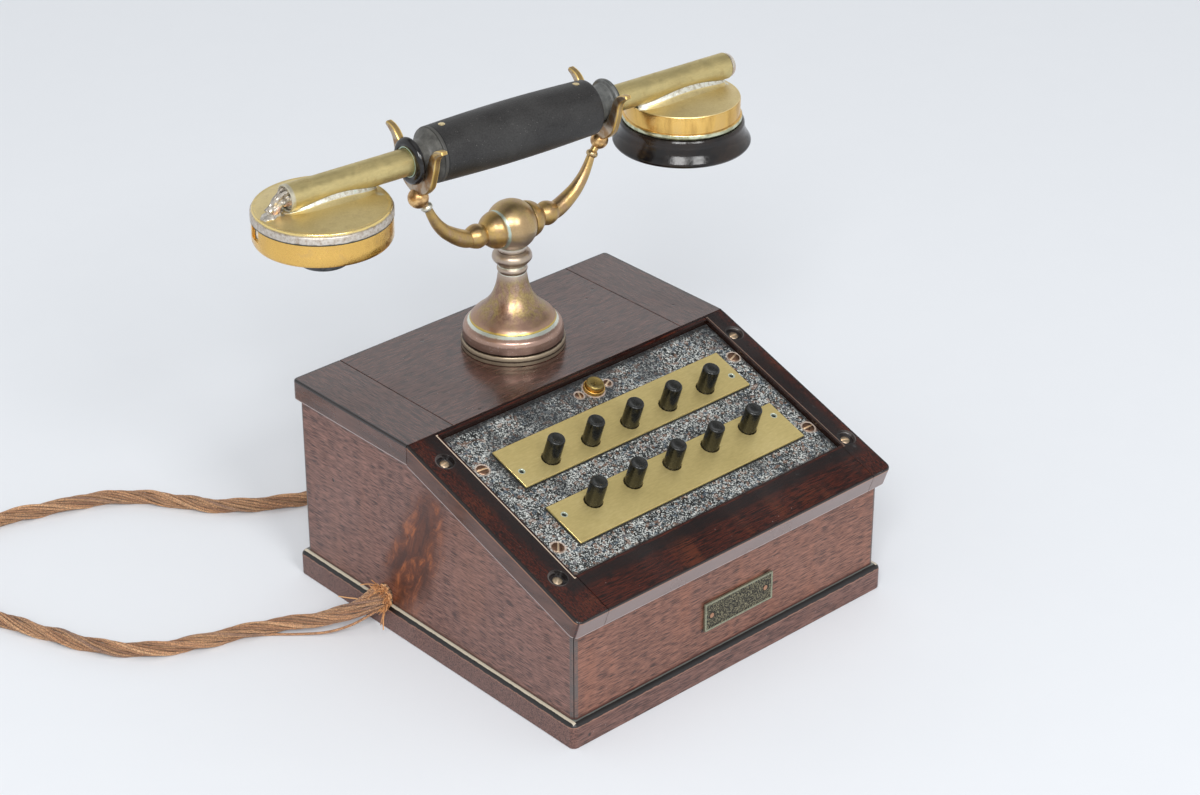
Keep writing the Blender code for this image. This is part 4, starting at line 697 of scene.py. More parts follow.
# Key panel. A sheet of composition stone in the frame's rebate, black and grey and speckled like granite,
# rubbed smoother and darker towards its rear edge. Painted shadow lies round its edges and the key strips;
# dirt has settled round the screws and the call button's bush.
panel_screws = ((-0.0705, 0.0887, -8), (-0.0705, 0.0385, 50), (0.0773, 0.0887, 18), (0.0773, 0.0385, -2))
call_screws = ((-0.0033, 0.1035, 70), (0.0133, 0.1035, 25))
panel_screw_size = 0.0029
call_screw_size = 0.0020
call_bush_size = 0.0048
key_row_centre = 0.0050
call_row = 0.1035
panel = laid_flat("key_panel")
ease_edges(panel, 0.00035, 2, lambda middle, run: middle.z > -0.0024 and abs(run.z) < 0.2)
panel.transform(to_slope)
stone = Finish("speckled_stone", 0.42)
stone_place = on_slope(stone)
stone_x, stone_y = stone.axis("X", stone_place), stone.axis("Y", stone_place)
coarse_grain = stone.cells(760, "Color")
pits = stone.noise(860, 4, 0.72, swirl=0.6)
patchy = stone.noise(34, 4, 0.6)
grain = (stone.axis("X", stone.cells(2100, "Color")) * 0.50
         + (pits * 1.05 + stone.noise(110, 5, 0.65, swirl=0.4) * 0.50))
stone.paint((grain - 0.542).ramp((0.37, (0.001, 0.002, 0.002)), (0.445, (0.010, 0.013, 0.015)),
                                 (0.50, (0.080, 0.092, 0.098)), (0.57, (0.275, 0.295, 0.290)),
                                 (0.67, (0.64, 0.66, 0.63))))
stone.lay(stone.axis("Z", coarse_grain).rise(0.82, 0.86, 0.5), (0.26, 0.14, 0.09))
stone.lay(stone.axis("X", coarse_grain).rise(0.86, 0.90, 0.5), (0.08, 0.12, 0.16))
stone.lay((patchy + stone_y.rise(0.078, 0.110, 0.14)).rise(0.53, 0.66, 0.68), (0.018, 0.022, 0.027))
# Painted shadow along the panel's edges, under the frame.
rim_shadow = stone_y.rise(0.1080, 0.1100) | (stone_x.rise(0.0785, 0.0803) | (
    stone_x.fade(-0.0754, -0.0742) | stone_y.fade(0.0228, 0.0240)))
stone.lay(rim_shadow * 0.8, (0.010, 0.009, 0.009))
# Painted shadow on the stone round each key strip.
for strip in ("key_strip_rear", "key_strip_front"):
    spots = [slope_back @ vert.co for vert in nodes[strip].data.vertices]
    beyond = []
    for along, values in ((stone_x, [p.x for p in spots]), (stone_y, [p.y for p in spots])):
        middle = (min(values) + max(values)) / 2
        beyond.append(abs(along - middle) - (max(values) - middle))
    stone.lay((beyond[0] | beyond[1]).fade(0.0005, 0.0010, 0.92), (0.006, 0.006, 0.007))
for x, y, size in ([(x, y, panel_screw_size) for x, y, turn in panel_screws]
                   + [(x, y, call_screw_size) for x, y, turn in call_screws]
                   + [(key_row_centre, call_row, call_bush_size)]):
    halo = stone.away(place=(x, y, 0), size=across_only, at=stone_place) + pits * 0.0012
    stone.lay(halo.fade(size + 0.0007, size + 0.0016, 0.85), (0.62, 0.50, 0.42))
stone.set(Roughness=patchy.grade(0.45, 0.65, 0.50, 0.30))
stone.bump(grain, 0.0005, 0.75)
add_board("stone_panel", panel, stone, "speckled_panel", "key_panel")

# Key strips. Two thin plates of rolled brass, matt and finely grained, pinned to the panel round the
# keys. Their cut edges and the rims of their holes carry a painted bright highlight.
key_rows = (0.0792, 0.0509)
strip_brass = Finish("rolled_brass", 0.46, 0.75)
strip_grain = strip_brass.noise(1400, 3, 0.6, strip_brass.turned(size=(4, 1, 1)))
strip_cloud = strip_brass.noise(30, 4, 0.6)
strip_edge_highlight = strip_brass.stored("arris")
strip_brass.paint((strip_grain * 0.45 + strip_cloud * 0.55).ramp(
    (0.32, (0.58, 0.465, 0.188)), (0.55, (0.69, 0.56, 0.24)), (0.75, (0.78, 0.65, 0.31))))
# Painted bright highlight on the cut edges and the rims of the holes.
strip_brass.lay(strip_edge_highlight, (0.86, 0.66, 0.26))
strip_place = on_slope(strip_brass)
for row in key_rows:
    for hole_x in (-0.0569, 0.0669):
        from_hole = strip_brass.away(place=(hole_x, row, 0), size=across_only, at=strip_place)
        strip_brass.lay(from_hole.fade(0.0014, 0.0017, 0.9), (0.66, 0.76, 0.66))
        strip_brass.lay(from_hole.fade(0.0009, 0.0011), (0.02, 0.03, 0.03))
strip_brass.set(Roughness=strip_edge_highlight.grade(0.0, 1.0, 0.47, 0.25))
strip_brass.bump(strip_grain, 0.00008, 0.5)
strip_brass.bump(strip_cloud, 0.0006, 0.10)
for node, name in (("key_strip_rear", "rear_strip"), ("key_strip_front", "front_strip")):
    plate = laid_flat(node)
    ease_edges(plate, 0.00022, 2, lambda middle, run: middle.z > -0.0012 and abs(run.z) < 0.2)
    plate.transform(to_slope)
    add_board(name, plate, strip_brass, "strip_brass", node)

# Keys. Ten turned ebonite buttons, gone matt and faintly olive, each with a collar below the panel
# that stops it. Fingers have dished their tops, which are painted a little paler.
strip_face = -0.001
key_rise = 0.0122
key_top = strip_face + key_rise
key_pitch = 0.02275
key_foot = 0.0039
key_crown = 0.00385
key_collar = 0.0052
key_stem = 0.0016


def lathe(outline, steps, fine=6, at=Matrix()):
    """A turned piece round its own Z axis. Its outline of (radius, height) points goes straight to each
    point, and smoothly from there through the points of a list."""
    line = [Vector((outline[0][0], 0, outline[0][1]))]
    for stretch in outline[1:]:
        smooth = isinstance(stretch, list)
        spots = line[-1:] + [Vector((r, 0, h)) for r, h in (stretch if smooth else [stretch])]
        if smooth:
            spots = smooth_line(spots, (len(spots) - 1) * fine + 1)
        line += [p for p in spots if (p - line[-1]).length > 1e-6]
    shape = bmesh.new()
    points = [shape.verts.new((max(p.x, 0), 0, p.z)) for p in line]
    edges = [shape.edges.new(pair) for pair in zip(points, points[1:])]
    bmesh.ops.spin(shape, geom=points + edges, cent=(0, 0, 0), axis=(0, 0, 1), angle=math.tau, steps=steps,
                   use_merge=True, use_duplicate=False)
    bmesh.ops.remove_doubles(shape, verts=shape.verts, dist=2e-6)
    bmesh.ops.recalc_face_normals(shape, faces=shape.faces)
    shape.transform(at)
    return shape


def turned_piece(name, shape, finish, body, slot, *nodes_replaced, sharp=34):
    add_piece(name, board_mesh(shape, name, sharp), finish, body, slot, *nodes_replaced)


key_ebonite = Finish("olive_ebonite", 0.40)
key_up = key_ebonite.axis("Z", on_slope(key_ebonite))
key_cloud = key_ebonite.noise(700, 3, 0.6)
key_ebonite.paint(key_cloud.ramp((0.3, (0.002, 0.002, 0.002)), (0.7, (0.010, 0.010, 0.007))))
key_ebonite.lay(key_up.rise(key_top - 0.0006, key_top - 0.0001, 0.8), (0.020, 0.021, 0.020))
key_dust = key_ebonite.cells(1500).fade(0.10, 0.22) * key_up.fade(strip_face + 0.0008, strip_face + 0.0030)
key_ebonite.lay(key_dust * 0.6, (0.32, 0.31, 0.27))
key_ebonite.set(Roughness=key_cloud.grade(0.3, 0.7, 0.16, 0.30), Specular_IOR_Level=0.42)
key_ebonite.bump(key_cloud, 0.00015, 0.5)
key_outline = [(0, -0.00042), [(0.0016, -0.00033), (0.0027, -0.00008), (0.00305, 0), (0.0034, -0.00012),
                               (0.0037, -0.0004), (key_crown, -0.0009)],
               (key_foot, -key_rise), (key_foot, -0.0167), (key_collar, -0.0167), (key_collar, -0.0179),
               (key_stem, -0.0179), (key_stem, -0.0242), (0, -0.0242)]
for number in range(1, 11):
    row, column = divmod(number - 1, 5)
    place = Matrix.Translation((key_row_centre + (column - 2) * key_pitch, key_rows[row], key_top))
    turned_piece("key_button_%d" % number, lathe(key_outline, 40, 4, to_slope @ place), key_ebonite,
                 "key_%d" % number, "dull_ebonite", "key_%d" % number)


# Call button. A small turned brass push with a stepped rim, standing in a bush that two copper screws
# flank. Its top has tarnished olive under the thumb and its sides are still gold.
def aged_metal(name, bright, dull, patina, roughness, metallic=1.0, patina_share=0.6, brush=(1, 1, 1)):
    """Old metal: clouded between two tones, with a darker patina in patches and a fine scratched grain."""
    metal = Finish(name, roughness, metallic)
    fine = metal.noise(1300, 3, 0.6, metal.turned(size=brush))
    patch = metal.noise(190, 5, 0.7, swirl=0.5)
    metal.paint((metal.noise(75, 5, 0.62) * 0.6 + fine * 0.4).ramp((0.36, dull), (0.62, bright)))
    metal.lay(patch.rise(0.52, 0.70, patina_share), patina)
    metal.set(Roughness=patch.grade(0.35, 0.70, roughness - 0.07, roughness + 0.13))
    metal.bump(fine, 0.00009, 0.45)
    metal.bump(metal.noise(55, 3), 0.0008, 0.10)
    return metal


call_button_place = to_slope @ Matrix.Translation((key_row_centre, call_row, 0))
call_brass = aged_metal("call_brass", (0.86, 0.54, 0.15), (0.66, 0.40, 0.12), (0.30, 0.20, 0.07), 0.30)
call_brass.lay(call_brass.axis("Z", on_slope(call_brass)).rise(0.0013, 0.0016, 0.85), (0.30, 0.24, 0.09))
push = lathe([(0, 0.00175), (0.0026, 0.0018), [(0.0034, 0.0020), (0.0037, 0.0019), (0.0040, 0.0015)],
              (0.0040, -0.0055), (0.0052, -0.0055), (0.0052, -0.0065), (0, -0.0065)],
             48, 5, call_button_place)
turned_piece("call_push", push, call_brass, "call_button", "gold_brass", "call_button")
bush = lathe([(0.0043, -0.0003), (0.0046, -0.0003), [(0.00485, -0.00045), (0.0049, -0.0008)],
              (0.0049, -0.0019), (0.0043, -0.0019), (0.0043, -0.0003)], 48, 4, call_button_place)
turned_piece("call_ferrule", bush, call_brass, "console", "gold_brass", "call_bush")

# Screws. Slotted brass and copper screws, the panel's larger than the frame's. Dirt has gathered
# round the heads, and their slots shine where the driver has turned them.
copper_look = ((0.30, 0.17, 0.11), (0.09, 0.05, 0.035), (0.014, 0.010, 0.009), 0.42, 1.0, 0.95)
brass_look = ((0.62, 0.50, 0.34), (0.40, 0.29, 0.20), (0.14, 0.08, 0.06), 0.42)
for kind, names, places, size, seat, look in (
        ("call_screw_", ("left", "right"), call_screws, call_screw_size, -0.0022, copper_look),
        ("panel_screw_", "1234", panel_screws, panel_screw_size, -0.0022, copper_look),
        ("frame_screw_", "1234", frame_screws, 0.0022, -0.0016, brass_look)):
    for which, (x, y, turn) in zip(names, places):
        screw_metal = aged_metal("metal_of_" + kind + which, *look)
        head_place = screw_metal.turned(place=to_slope @ Vector((x, y, seat)), turn=(slope_angle, 0, 0))
        slot_lay = screw_metal.turned(turn=(0, 0, math.radians(turn)), at=head_place)
        from_middle = screw_metal.away(size=across_only, at=head_place)
        screw_metal.lay(from_middle.rise(size * 0.86, size * 0.95, 0.75), (0.56, 0.42, 0.32))
        in_slot = (abs(screw_metal.axis("Y", slot_lay)).fade(0.00034, 0.00046)
                   * screw_metal.axis("Z", slot_lay).rise(-0.0012, -0.0010))
        screw_metal.lay(in_slot, (0.90, 0.74, 0.55))
        head = laid_flat(kind + which)
        ease_edges(head, 0.00016, 2, lambda middle, run: middle.z > seat - 0.0004, sharp=50)
        head.transform(to_slope)
        turned_piece("turned_" + kind + which, head, screw_metal, "console", "aged_brass",
                     kind + which, sharp=50)

# Name plate. A bare sheet of brass with a raised border, gone mottled grey-green, held to the front
# wall by two copper pins.
plate_middle = (0.0037, -0.0903, 0.0306)
plate_pins = 0.016
plate_metal = aged_metal("mottled_plate", (0.18, 0.145, 0.080), (0.085, 0.072, 0.048), (0.035, 0.038, 0.030),
                         0.46, 0.8, 0.85)
plate_place = plate_metal.turned(place=plate_middle)
plate_x, plate_z = abs(plate_metal.axis("X", plate_place)), plate_metal.axis("Z", plate_place)
plate_grain = plate_metal.noise(1500, 3, 0.7)
plate_metal.paint(plate_grain.ramp((0.40, (0.020, 0.022, 0.026)), (0.52, (0.090, 0.080, 0.055)),
                                   (0.62, (0.34, 0.31, 0.20))))
plate_border = plate_x.rise(0.0191, 0.0194) | abs(plate_z).rise(0.0058, 0.0061)
plate_metal.lay(plate_border * plate_grain.grade(0.35, 0.55, 0.5, 0.95), (0.36, 0.37, 0.27))
past_pin = plate_x - plate_pins
pin_away = plate_metal.math("SQRT", past_pin * past_pin + plate_z * plate_z)
plate_metal.lay(pin_away.fade(0.0011, 0.0013, 0.9), (0.50, 0.27, 0.17))
plate_metal.lay(pin_away.stripe(0.0011, 0.0013, 0.0016, 0.0019, 0.8), (0.015, 0.015, 0.012))
name_plate = clean_copy("name_plate")
ease_edges(name_plate, 0.00014, 1, sharp=60)
add_board("bare_plate", name_plate, plate_metal, "strip_brass", "name_plate")

# Cradle pillar. Turned nickel-plated brass: bell foot with a drum and beads below, slim neck with a ring
# and a bead above. The plating has worn through to brown gold, and polish has dried white in the grooves.
cradle_place = (0.0011, 0.0515, 0.1007)
cradle_axes = Matrix.Translation(cradle_place) @ Matrix.Rotation(math.radians(-4.5), 4, "Z")
pillar_foot = 0.0234
pillar_base = 0.0003
pillar_tall = 0.0460


def worn_nickel(name, place):
    """Plated brass worn to a satin brown gold, pinker and paler in clouds, with streaks along its height."""
    metal = Finish(name, 0.40, 0.92)
    metal.own = metal.turned(place=place)
    cloud = metal.noise(85, 5, 0.6, swirl=0.5)
    streak = metal.noise(210, 4, 0.6, metal.turned(size=(1, 1, 6), at=metal.own))
    metal.paint((cloud * 0.55 + streak * 0.45).ramp(
        (0.35, (0.26, 0.160, 0.125)), (0.46, (0.38, 0.250, 0.180)), (0.54, (0.43, 0.325, 0.140)),
        (0.60, (0.40, 0.27, 0.20)), (0.68, (0.50, 0.40, 0.33))))
    metal.lay(metal.noise(1100, 3, 0.7).rise(0.36, 0.66, 0.45), (0.16, 0.095, 0.065))
    metal.set(Roughness=cloud.grade(0.3, 0.7, 0.28, 0.44))
    metal.bump(metal.noise(1200, 3, 0.6, metal.turned(size=(6, 6, 1), at=metal.own)), 0.00010, 0.55)
    metal.bump(streak, 0.0004, 0.10)
    return metal


def hide_in_grooves(metal, up, grooves, colour, width=0.00028):
    """Ragged lines of a colour at given levels of a turned piece."""
    ragged = up + (metal.noise(500, 3, 0.6) - 0.5) * 0.0006
    for level in grooves:
        metal.lay(abs(ragged - level).fade(width * 0.5, width, 0.92), colour)


def of_pillar(part):
    """An outline in metres from shares of the pillar's foot and height."""
    if isinstance(part, list):
        return [of_pillar(point) for point in part]
    return (part[0] * pillar_foot, pillar_base + part[1] * pillar_tall)


pillar_metal = worn_nickel("pillar_metal", cradle_place)
pillar_up = pillar_metal.axis("Z", pillar_metal.own)
pillar_share = (pillar_up - pillar_base) * (1 / pillar_tall)
drum = pillar_share.rise(0.255, 0.245)
pillar_metal.lay(pillar_up.rise(0.0195, 0.0150, 0.75), (0.42, 0.265, 0.195))
pillar_metal.lay(drum * 0.85, (0.40, 0.265, 0.215))
pillar_metal.lay(pillar_metal.noise(900, 3, 0.7).rise(0.60, 0.68) * drum * 0.6, (0.66, 0.56, 0.50))
pillar_metal.lay(pillar_share.rise(0.100, 0.094) * 0.85, (0.40, 0.33, 0.23))
pillar_metal.lay(pillar_up.rise(0.0310, 0.0360, 0.65), (0.50, 0.43, 0.37))
# Pale dried polish in the neck's grooves, darker lines low on the foot, a gold and a mint line above the
# drum.
for shares, colour, width in (
        ((0.773, 0.845), (0.66, 0.68, 0.60), 0.00045), ((0.095, 0.040), (0.06, 0.04, 0.03), 0.00055),
        ((0.284,), (0.60, 0.44, 0.12), 0.0006), ((0.262,), (0.74, 0.80, 0.72), 0.0008)):
    grooves = [pillar_base + share * pillar_tall for share in shares]
    hide_in_grooves(pillar_metal, pillar_up, grooves, colour, width)
pillar = lathe(of_pillar([
    (0.13, 1.0), (0.27, 1.0), [(0.345, 0.98), (0.38, 0.945), (0.372, 0.91), (0.3, 0.868), (0.258, 0.842)],
    [(0.278, 0.832), (0.292, 0.807), (0.278, 0.783), (0.262, 0.772)],
    [(0.282, 0.738), (0.303, 0.67), (0.342, 0.594), (0.41, 0.514), (0.513, 0.44), (0.65, 0.371),
     (0.765, 0.323), (0.83, 0.281)],
    (0.822, 0.268), [(0.872, 0.248), (0.932, 0.222), (0.962, 0.186)], [(0.966, 0.14), (0.962, 0.099)],
    (0.946, 0.093), [(0.985, 0.085), (1.0, 0.066)], (1.0, 0.0), (0.748, 0.0), (0.748, 0.12), (0.26, 0.31),
    (0.13, 0.31), (0.13, 1.0)]), 96, 6, cradle_axes)
turned_piece("turned_pillar", pillar, pillar_metal, "console", "worn_nickel", "cradle_pillar", sharp=40)

# Ball and arms. The ball sits on a collar over the pillar and carries two arms: a socket turned to its
# curve, a bulb, a tapering horn, a bead, a knob and a crescent fork with its tips curled outwards.
ball_height = 0.0582
ball_size = 0.0116
ball_collar = 0.0064
ball_stem = 0.0028
ball_metal = worn_nickel("ball_metal", cradle_place)
ball_up = ball_metal.axis("Z", ball_metal.own)
ball_metal.lay(0.5, (0.62, 0.45, 0.20))
ball_metal.lay(ball_up.rise(ball_height + 0.001, ball_height - 0.006, 0.8), (0.56, 0.50, 0.46))
hide_in_grooves(ball_metal, abs(ball_metal.axis("X", ball_metal.own)), [0.0080], (0.50, 0.60, 0.52), 0.0006)
hide_in_grooves(ball_metal, ball_up, [0.0484], (0.62, 0.64, 0.52))
ball_sweep = math.radians(146)
round_ball = [(ball_size * math.sin(turn), ball_height + ball_size * math.cos(turn))
              for turn in [ball_sweep * i / 30 for i in range(31)]]
ball = lathe([round_ball[0], round_ball[1:], (0.00647, 0.0486), (ball_collar, 0.0484),
              [(0.00655, 0.0475), (ball_collar, 0.0466)], (ball_stem, 0.0466), (ball_stem, -0.0160),
              (0, -0.0160)], 72, 2, cradle_axes)
turned_piece("turned_ball", ball, ball_metal, "cradle", "worn_nickel", "cradle_ball")

socket_start = 0.0083
socket_size = 0.0083
bulb_size = 0.0055
turned_end = 0.0232
bead_out = 0.0444
bead_height = 0.0797
knob_out = 0.0485
knob_height = 0.0851
handset_height = 0.1029
handset_tilt = math.radians(0.43)
neck_seat = 0.0085
fork_deep = 0.0079
tip_out = 0.0209
tip_up = 0.0106
fork_thick = 0.0036
arm_metal = worn_nickel("arm_metal", (0, 0, 0))
arm_metal.lay(arm_metal.noise(160, 4, 0.6).grade(0.40, 0.70, 0.35, 0.9), (0.56, 0.37, 0.125))
arm_metal.lay(arm_metal.stored("arris") * 0.85, (0.86, 0.62, 0.22))
arm_metal.lay(arm_metal.stored("flat") * 0.8, arm_metal.mix(
    arm_metal.noise(230, 4).rise(0.42, 0.58), (0.28, 0.165, 0.095), (0.44, 0.38, 0.32)))
arm_metal.lay(arm_metal.stored("copper") * 0.8, arm_metal.mix(
    arm_metal.noise(300, 4).rise(0.40, 0.60), (0.36, 0.20, 0.09), (0.84, 0.55, 0.25)))
arm_metal.lay(arm_metal.stored("silvery") * 0.85, (0.66, 0.68, 0.62))


def ball_of(radius, flat, steps=14):
    """Outline of a bead, whole or flattened."""
    turns = [math.pi * i / steps for i in range(steps + 1)]
    half = [(radius * math.sin(turn), flat * math.cos(turn)) for turn in turns]
    return [half[0], half[1:]]


def add_shell(whole, part, **marks):
    """Joins one shell to a shape, with marks on its faces for the finish to read."""
    for layer_name, value in marks.items():
        layer = part.faces.layers.float.get(layer_name) or part.faces.layers.float.new(layer_name)
        for face in part.faces:
            face[layer] = value
    mesh = bpy.data.meshes.new("shell")
    part.to_mesh(mesh)
    part.free()
    add_mesh(whole, mesh)


def add_mesh(whole, mesh):
    whole.from_mesh(mesh)
    bpy.data.meshes.remove(mesh)


def fork_arc(radius, turn):
    """A point of the fork's round seat, at an angle up from its lowest point."""
    return Vector((radius * math.sin(turn), -radius * math.cos(turn), 0))


def fork_tip(*shares):
    """Points of the fork's curled tip, from shares of its reach outwards and up."""
    return [(x * tip_out, y * tip_up, 0) for x, y in shares]


seat_turn = math.radians(65)
fork_half = [fork_arc(neck_seat, seat_turn * i / 14) for i in range(15)]
fork_half += smooth_line([fork_half[-1]] + fork_tip((0.45, -0.05), (0.5, 0.24), (0.56, 0.53), (0.68, 0.79),
                                                    (0.82, 0.94), (0.975, 1.0)), 20)[1:]
fork_half += smooth_line(
    fork_tip((1.0, 0.87), (0.87, 0.7), (0.775, 0.51), (0.725, 0.245), (0.69, -0.085))
    + [fork_arc(neck_seat + fork_deep * (1 - 0.27 * i / 6), seat_turn * i / 6) for i in range(5, -1, -1)],
    34)


def crescent_fork():
    """The fork's outline, closed by its mirror image, given its thickness and rounded edges."""
    fork = bmesh.new()
    rim = [fork.verts.new(p) for p in fork_half]
    rim += [fork.verts.new((-p.x, p.y, 0)) for p in reversed(fork_half[1:-1])]
    face = fork.faces.new(rim)
    bmesh.ops.translate(fork, verts=fork.verts, vec=(0, 0, -fork_thick / 2))
    grown = bmesh.ops.extrude_face_region(fork, geom=[face])
    bmesh.ops.translate(fork, verts=[v for v in grown["geom"] if isinstance(v, bmesh.types.BMVert)],
                        vec=(0, 0, fork_thick))
    bmesh.ops.recalc_face_normals(fork, faces=fork.faces)
    flat_mark = fork.faces.layers.float.new("flat")
    for face in fork.faces:
        face[flat_mark] = abs(face.normal.z)
    ease_edges(fork, 0.0011, 4, lambda middle, run: abs(abs(middle.z) - fork_thick / 2) < 1e-5, sharp=60)
    return fork


horn_shares = ((0.0, 0.0), (0.14, 0.05), (0.31, 0.145), (0.45, 0.24),
               (0.58, 0.345), (0.75, 0.54), (0.88, 0.76), (1.0, 1.0))
for node, name, side, knob_size, silvery in (("arm_left", "left_arm", -1, 0.0046, 0.9),
                                             ("arm_right", "right_arm", 1, 0.0040, 0.15)):
    arm = bmesh.new()
    for layer_name in ("arris", "flat", "silvery", "copper"):
        arm.faces.layers.float.new(layer_name)
    outward = (cradle_axes @ Matrix.Translation((0, 0, ball_height))
               @ Matrix.Rotation(math.pi / 2 * side, 4, "Y"))
    add_shell(arm, lathe([
        (0, 0.0119), [(0.0030, 0.01150), (0.0060, 0.01025), (0.0080, socket_start + 0.0003)],
        [(socket_size, socket_start), (0.00845, socket_start + 0.0008),
         (socket_size * 0.97, socket_start + 0.0023), (socket_size * 0.88, socket_start + 0.0040),
         (socket_size * 0.69, socket_start + 0.0060),
         (bulb_size * 0.82, turned_end - bulb_size * 1.4)],
        [(bulb_size * 0.90, turned_end - bulb_size * 1.22), (bulb_size, turned_end - bulb_size * 0.82),
         (bulb_size * 0.93, turned_end - bulb_size * 0.42), (0.0041, turned_end)], (0, turned_end + 0.0006)],
        56, 5, outward))
    bead = Vector((side * bead_out, 0, bead_height))
    horn_foot = Vector((side * turned_end, 0, ball_height))
    reach = bead - horn_foot
    route = [Vector((side * (turned_end - 0.002), 0, ball_height))]
    route += [horn_foot + Vector((reach.x * a, 0, reach.z * b)) for a, b in horn_shares]
    route.append(Vector((side * knob_out, 0, knob_height)))
    horn = []
    for spot in smooth_line(route, 48):
        share = min(max((spot.x * side - turned_end) / (bead_out - turned_end), 0), 1)
        horn.append((cradle_axes @ spot, 0.0040 - 0.0023 * share ** 1.7))
    add_mesh(arm, swept_mesh([horn], 5))
    bead_at = cradle_axes @ Matrix.Translation(bead) @ Matrix.Rotation(side * math.radians(30), 4, "Y")
    add_shell(arm, lathe(ball_of(0.0027, 0.0019), 40, 1, bead_at), silvery=silvery)
    knob_at = cradle_axes @ Matrix.Translation((side * knob_out, 0, knob_height))
    add_shell(arm, lathe(ball_of(knob_size, knob_size), 48, 1, knob_at), copper=1.0)
    fork = crescent_fork()
    fork_up = handset_height - side * knob_out * math.tan(handset_tilt)
    fork.transform(cradle_axes @ Matrix.Translation((side * knob_out, 0, fork_up))
                   @ Matrix.Rotation(math.pi / 2, 4, "Z") @ Matrix.Rotation(math.pi / 2, 4, "X"))
    add_shell(arm, fork)
    turned_piece(name, arm, arm_metal, "cradle", "worn_nickel", node, sharp=50)

# Handset tube. One straight brass tube, open at its left end and capped at its right. It was lacquered
# and has dulled to a matt olive gold, silvery at its mouth.
handset_axes = (cradle_axes @ Matrix.Translation((0, 0, handset_height))
                @ Matrix.Rotation(handset_tilt, 4, "Y"))
along = handset_axes @ Matrix.Rotation(math.pi / 2, 4, "Y")
tube_turn = (0, handset_tilt, math.radians(-4.5))
tube_place = handset_axes.translation
tube_size = 0.0060
tube_bore = 0.0051
tube_left = -0.1140
tube_right = 0.1200


def on_tube(finish):
    """Coordinates along, across and above the handset's tube."""
    return finish.turned(place=tube_place, turn=tube_turn)


tube_brass = aged_metal("olive_tube", (0.62, 0.51, 0.24), (0.50, 0.41, 0.19), (0.42, 0.32, 0.15),
                        0.42, 0.9, 0.45, (5, 1, 1))
tube_brass.lay(tube_brass.axis("X", on_tube(tube_brass)).fade(tube_left + 0.0012, tube_left + 0.0022, 0.75),
               (0.62, 0.60, 0.52))
tube = lathe([(tube_bore, tube_right), (tube_size - 0.0002, tube_right), (tube_size, tube_right - 0.0002),
              (tube_size, 0), (tube_size, tube_left + 0.0003),
              [(tube_size - 0.00045, tube_left), (tube_bore, tube_left + 0.0003)], (tube_bore, tube_right)],
             64, 3, along)
turned_piece("long_tube", tube, tube_brass, "handset", "aged_brass", "handset_tube")
cap_brass = aged_metal("cap_brass", (0.82, 0.80, 0.70), (0.46, 0.28, 0.17), (0.66, 0.78, 0.68), 0.28)
cap = lathe([(0, 0.0042), [(0.0026, 0.0039), (0.0045, 0.0029), (0.0055, 0.0015), (0.0057, 0.0003)],
             (0.0048, 0.0003), (0.0048, -0.0050), (0, -0.0050)],
            48, 6, along @ Matrix.Translation((0, 0, tube_right)))
turned_piece("domed_cap", cap, cap_brass, "handset", "aged_brass", "tube_end_cap")

# Grip and collars. The grip is a turned barrel of charcoal ebonite, matt with small pale specks, pinned
# to the tube by two brass pins. Collars with flared rims close it at both ends, glossy at their lips.
grip_half = 0.0420
grip_end = 0.0124
grip_swell = 0.0009
grip_bore = 0.0063
grip_joint = -0.0405
grip_ebonite = Finish("charcoal_ebonite", 0.46)
grip_cloud = grip_ebonite.noise(60, 4, 0.6)
grip_grain = grip_ebonite.noise(1500, 3, 0.65)
grip_x = grip_ebonite.axis("X", on_tube(grip_ebonite))
grip_ebonite.paint((grip_cloud * 0.5 + grip_grain * 0.5).ramp((0.35, (0.011, 0.010, 0.010)),
                                                              (0.65, (0.037, 0.036, 0.035))))
grip_specks = grip_ebonite.cells(900).fade(0.06, 0.12) * grip_ebonite.noise(250, 2).rise(0.52, 0.60)
grip_ebonite.lay(grip_specks * 0.8, (0.30, 0.29, 0.27))
grip_ebonite.lay(grip_x.fade(grip_joint - 0.0002, grip_joint, 0.8), (0.066, 0.064, 0.058))
grip_ebonite.lay(grip_x.stripe(grip_joint - 0.0001, grip_joint, grip_joint + 0.0003, grip_joint + 0.0005),
                 (0.006, 0.006, 0.006))
grip_ebonite.set(Roughness=grip_cloud.grade(0.3, 0.7, 0.38, 0.54), Specular_IOR_Level=0.4)
grip_ebonite.bump(grip_grain, 0.0002, 0.55)
grip_ebonite.bump(grip_ebonite.noise(140, 3), 0.0005, 0.12)


def grip_radius(away, half):
    return grip_end + grip_swell * math.cos(math.pi / 2 * away / half)


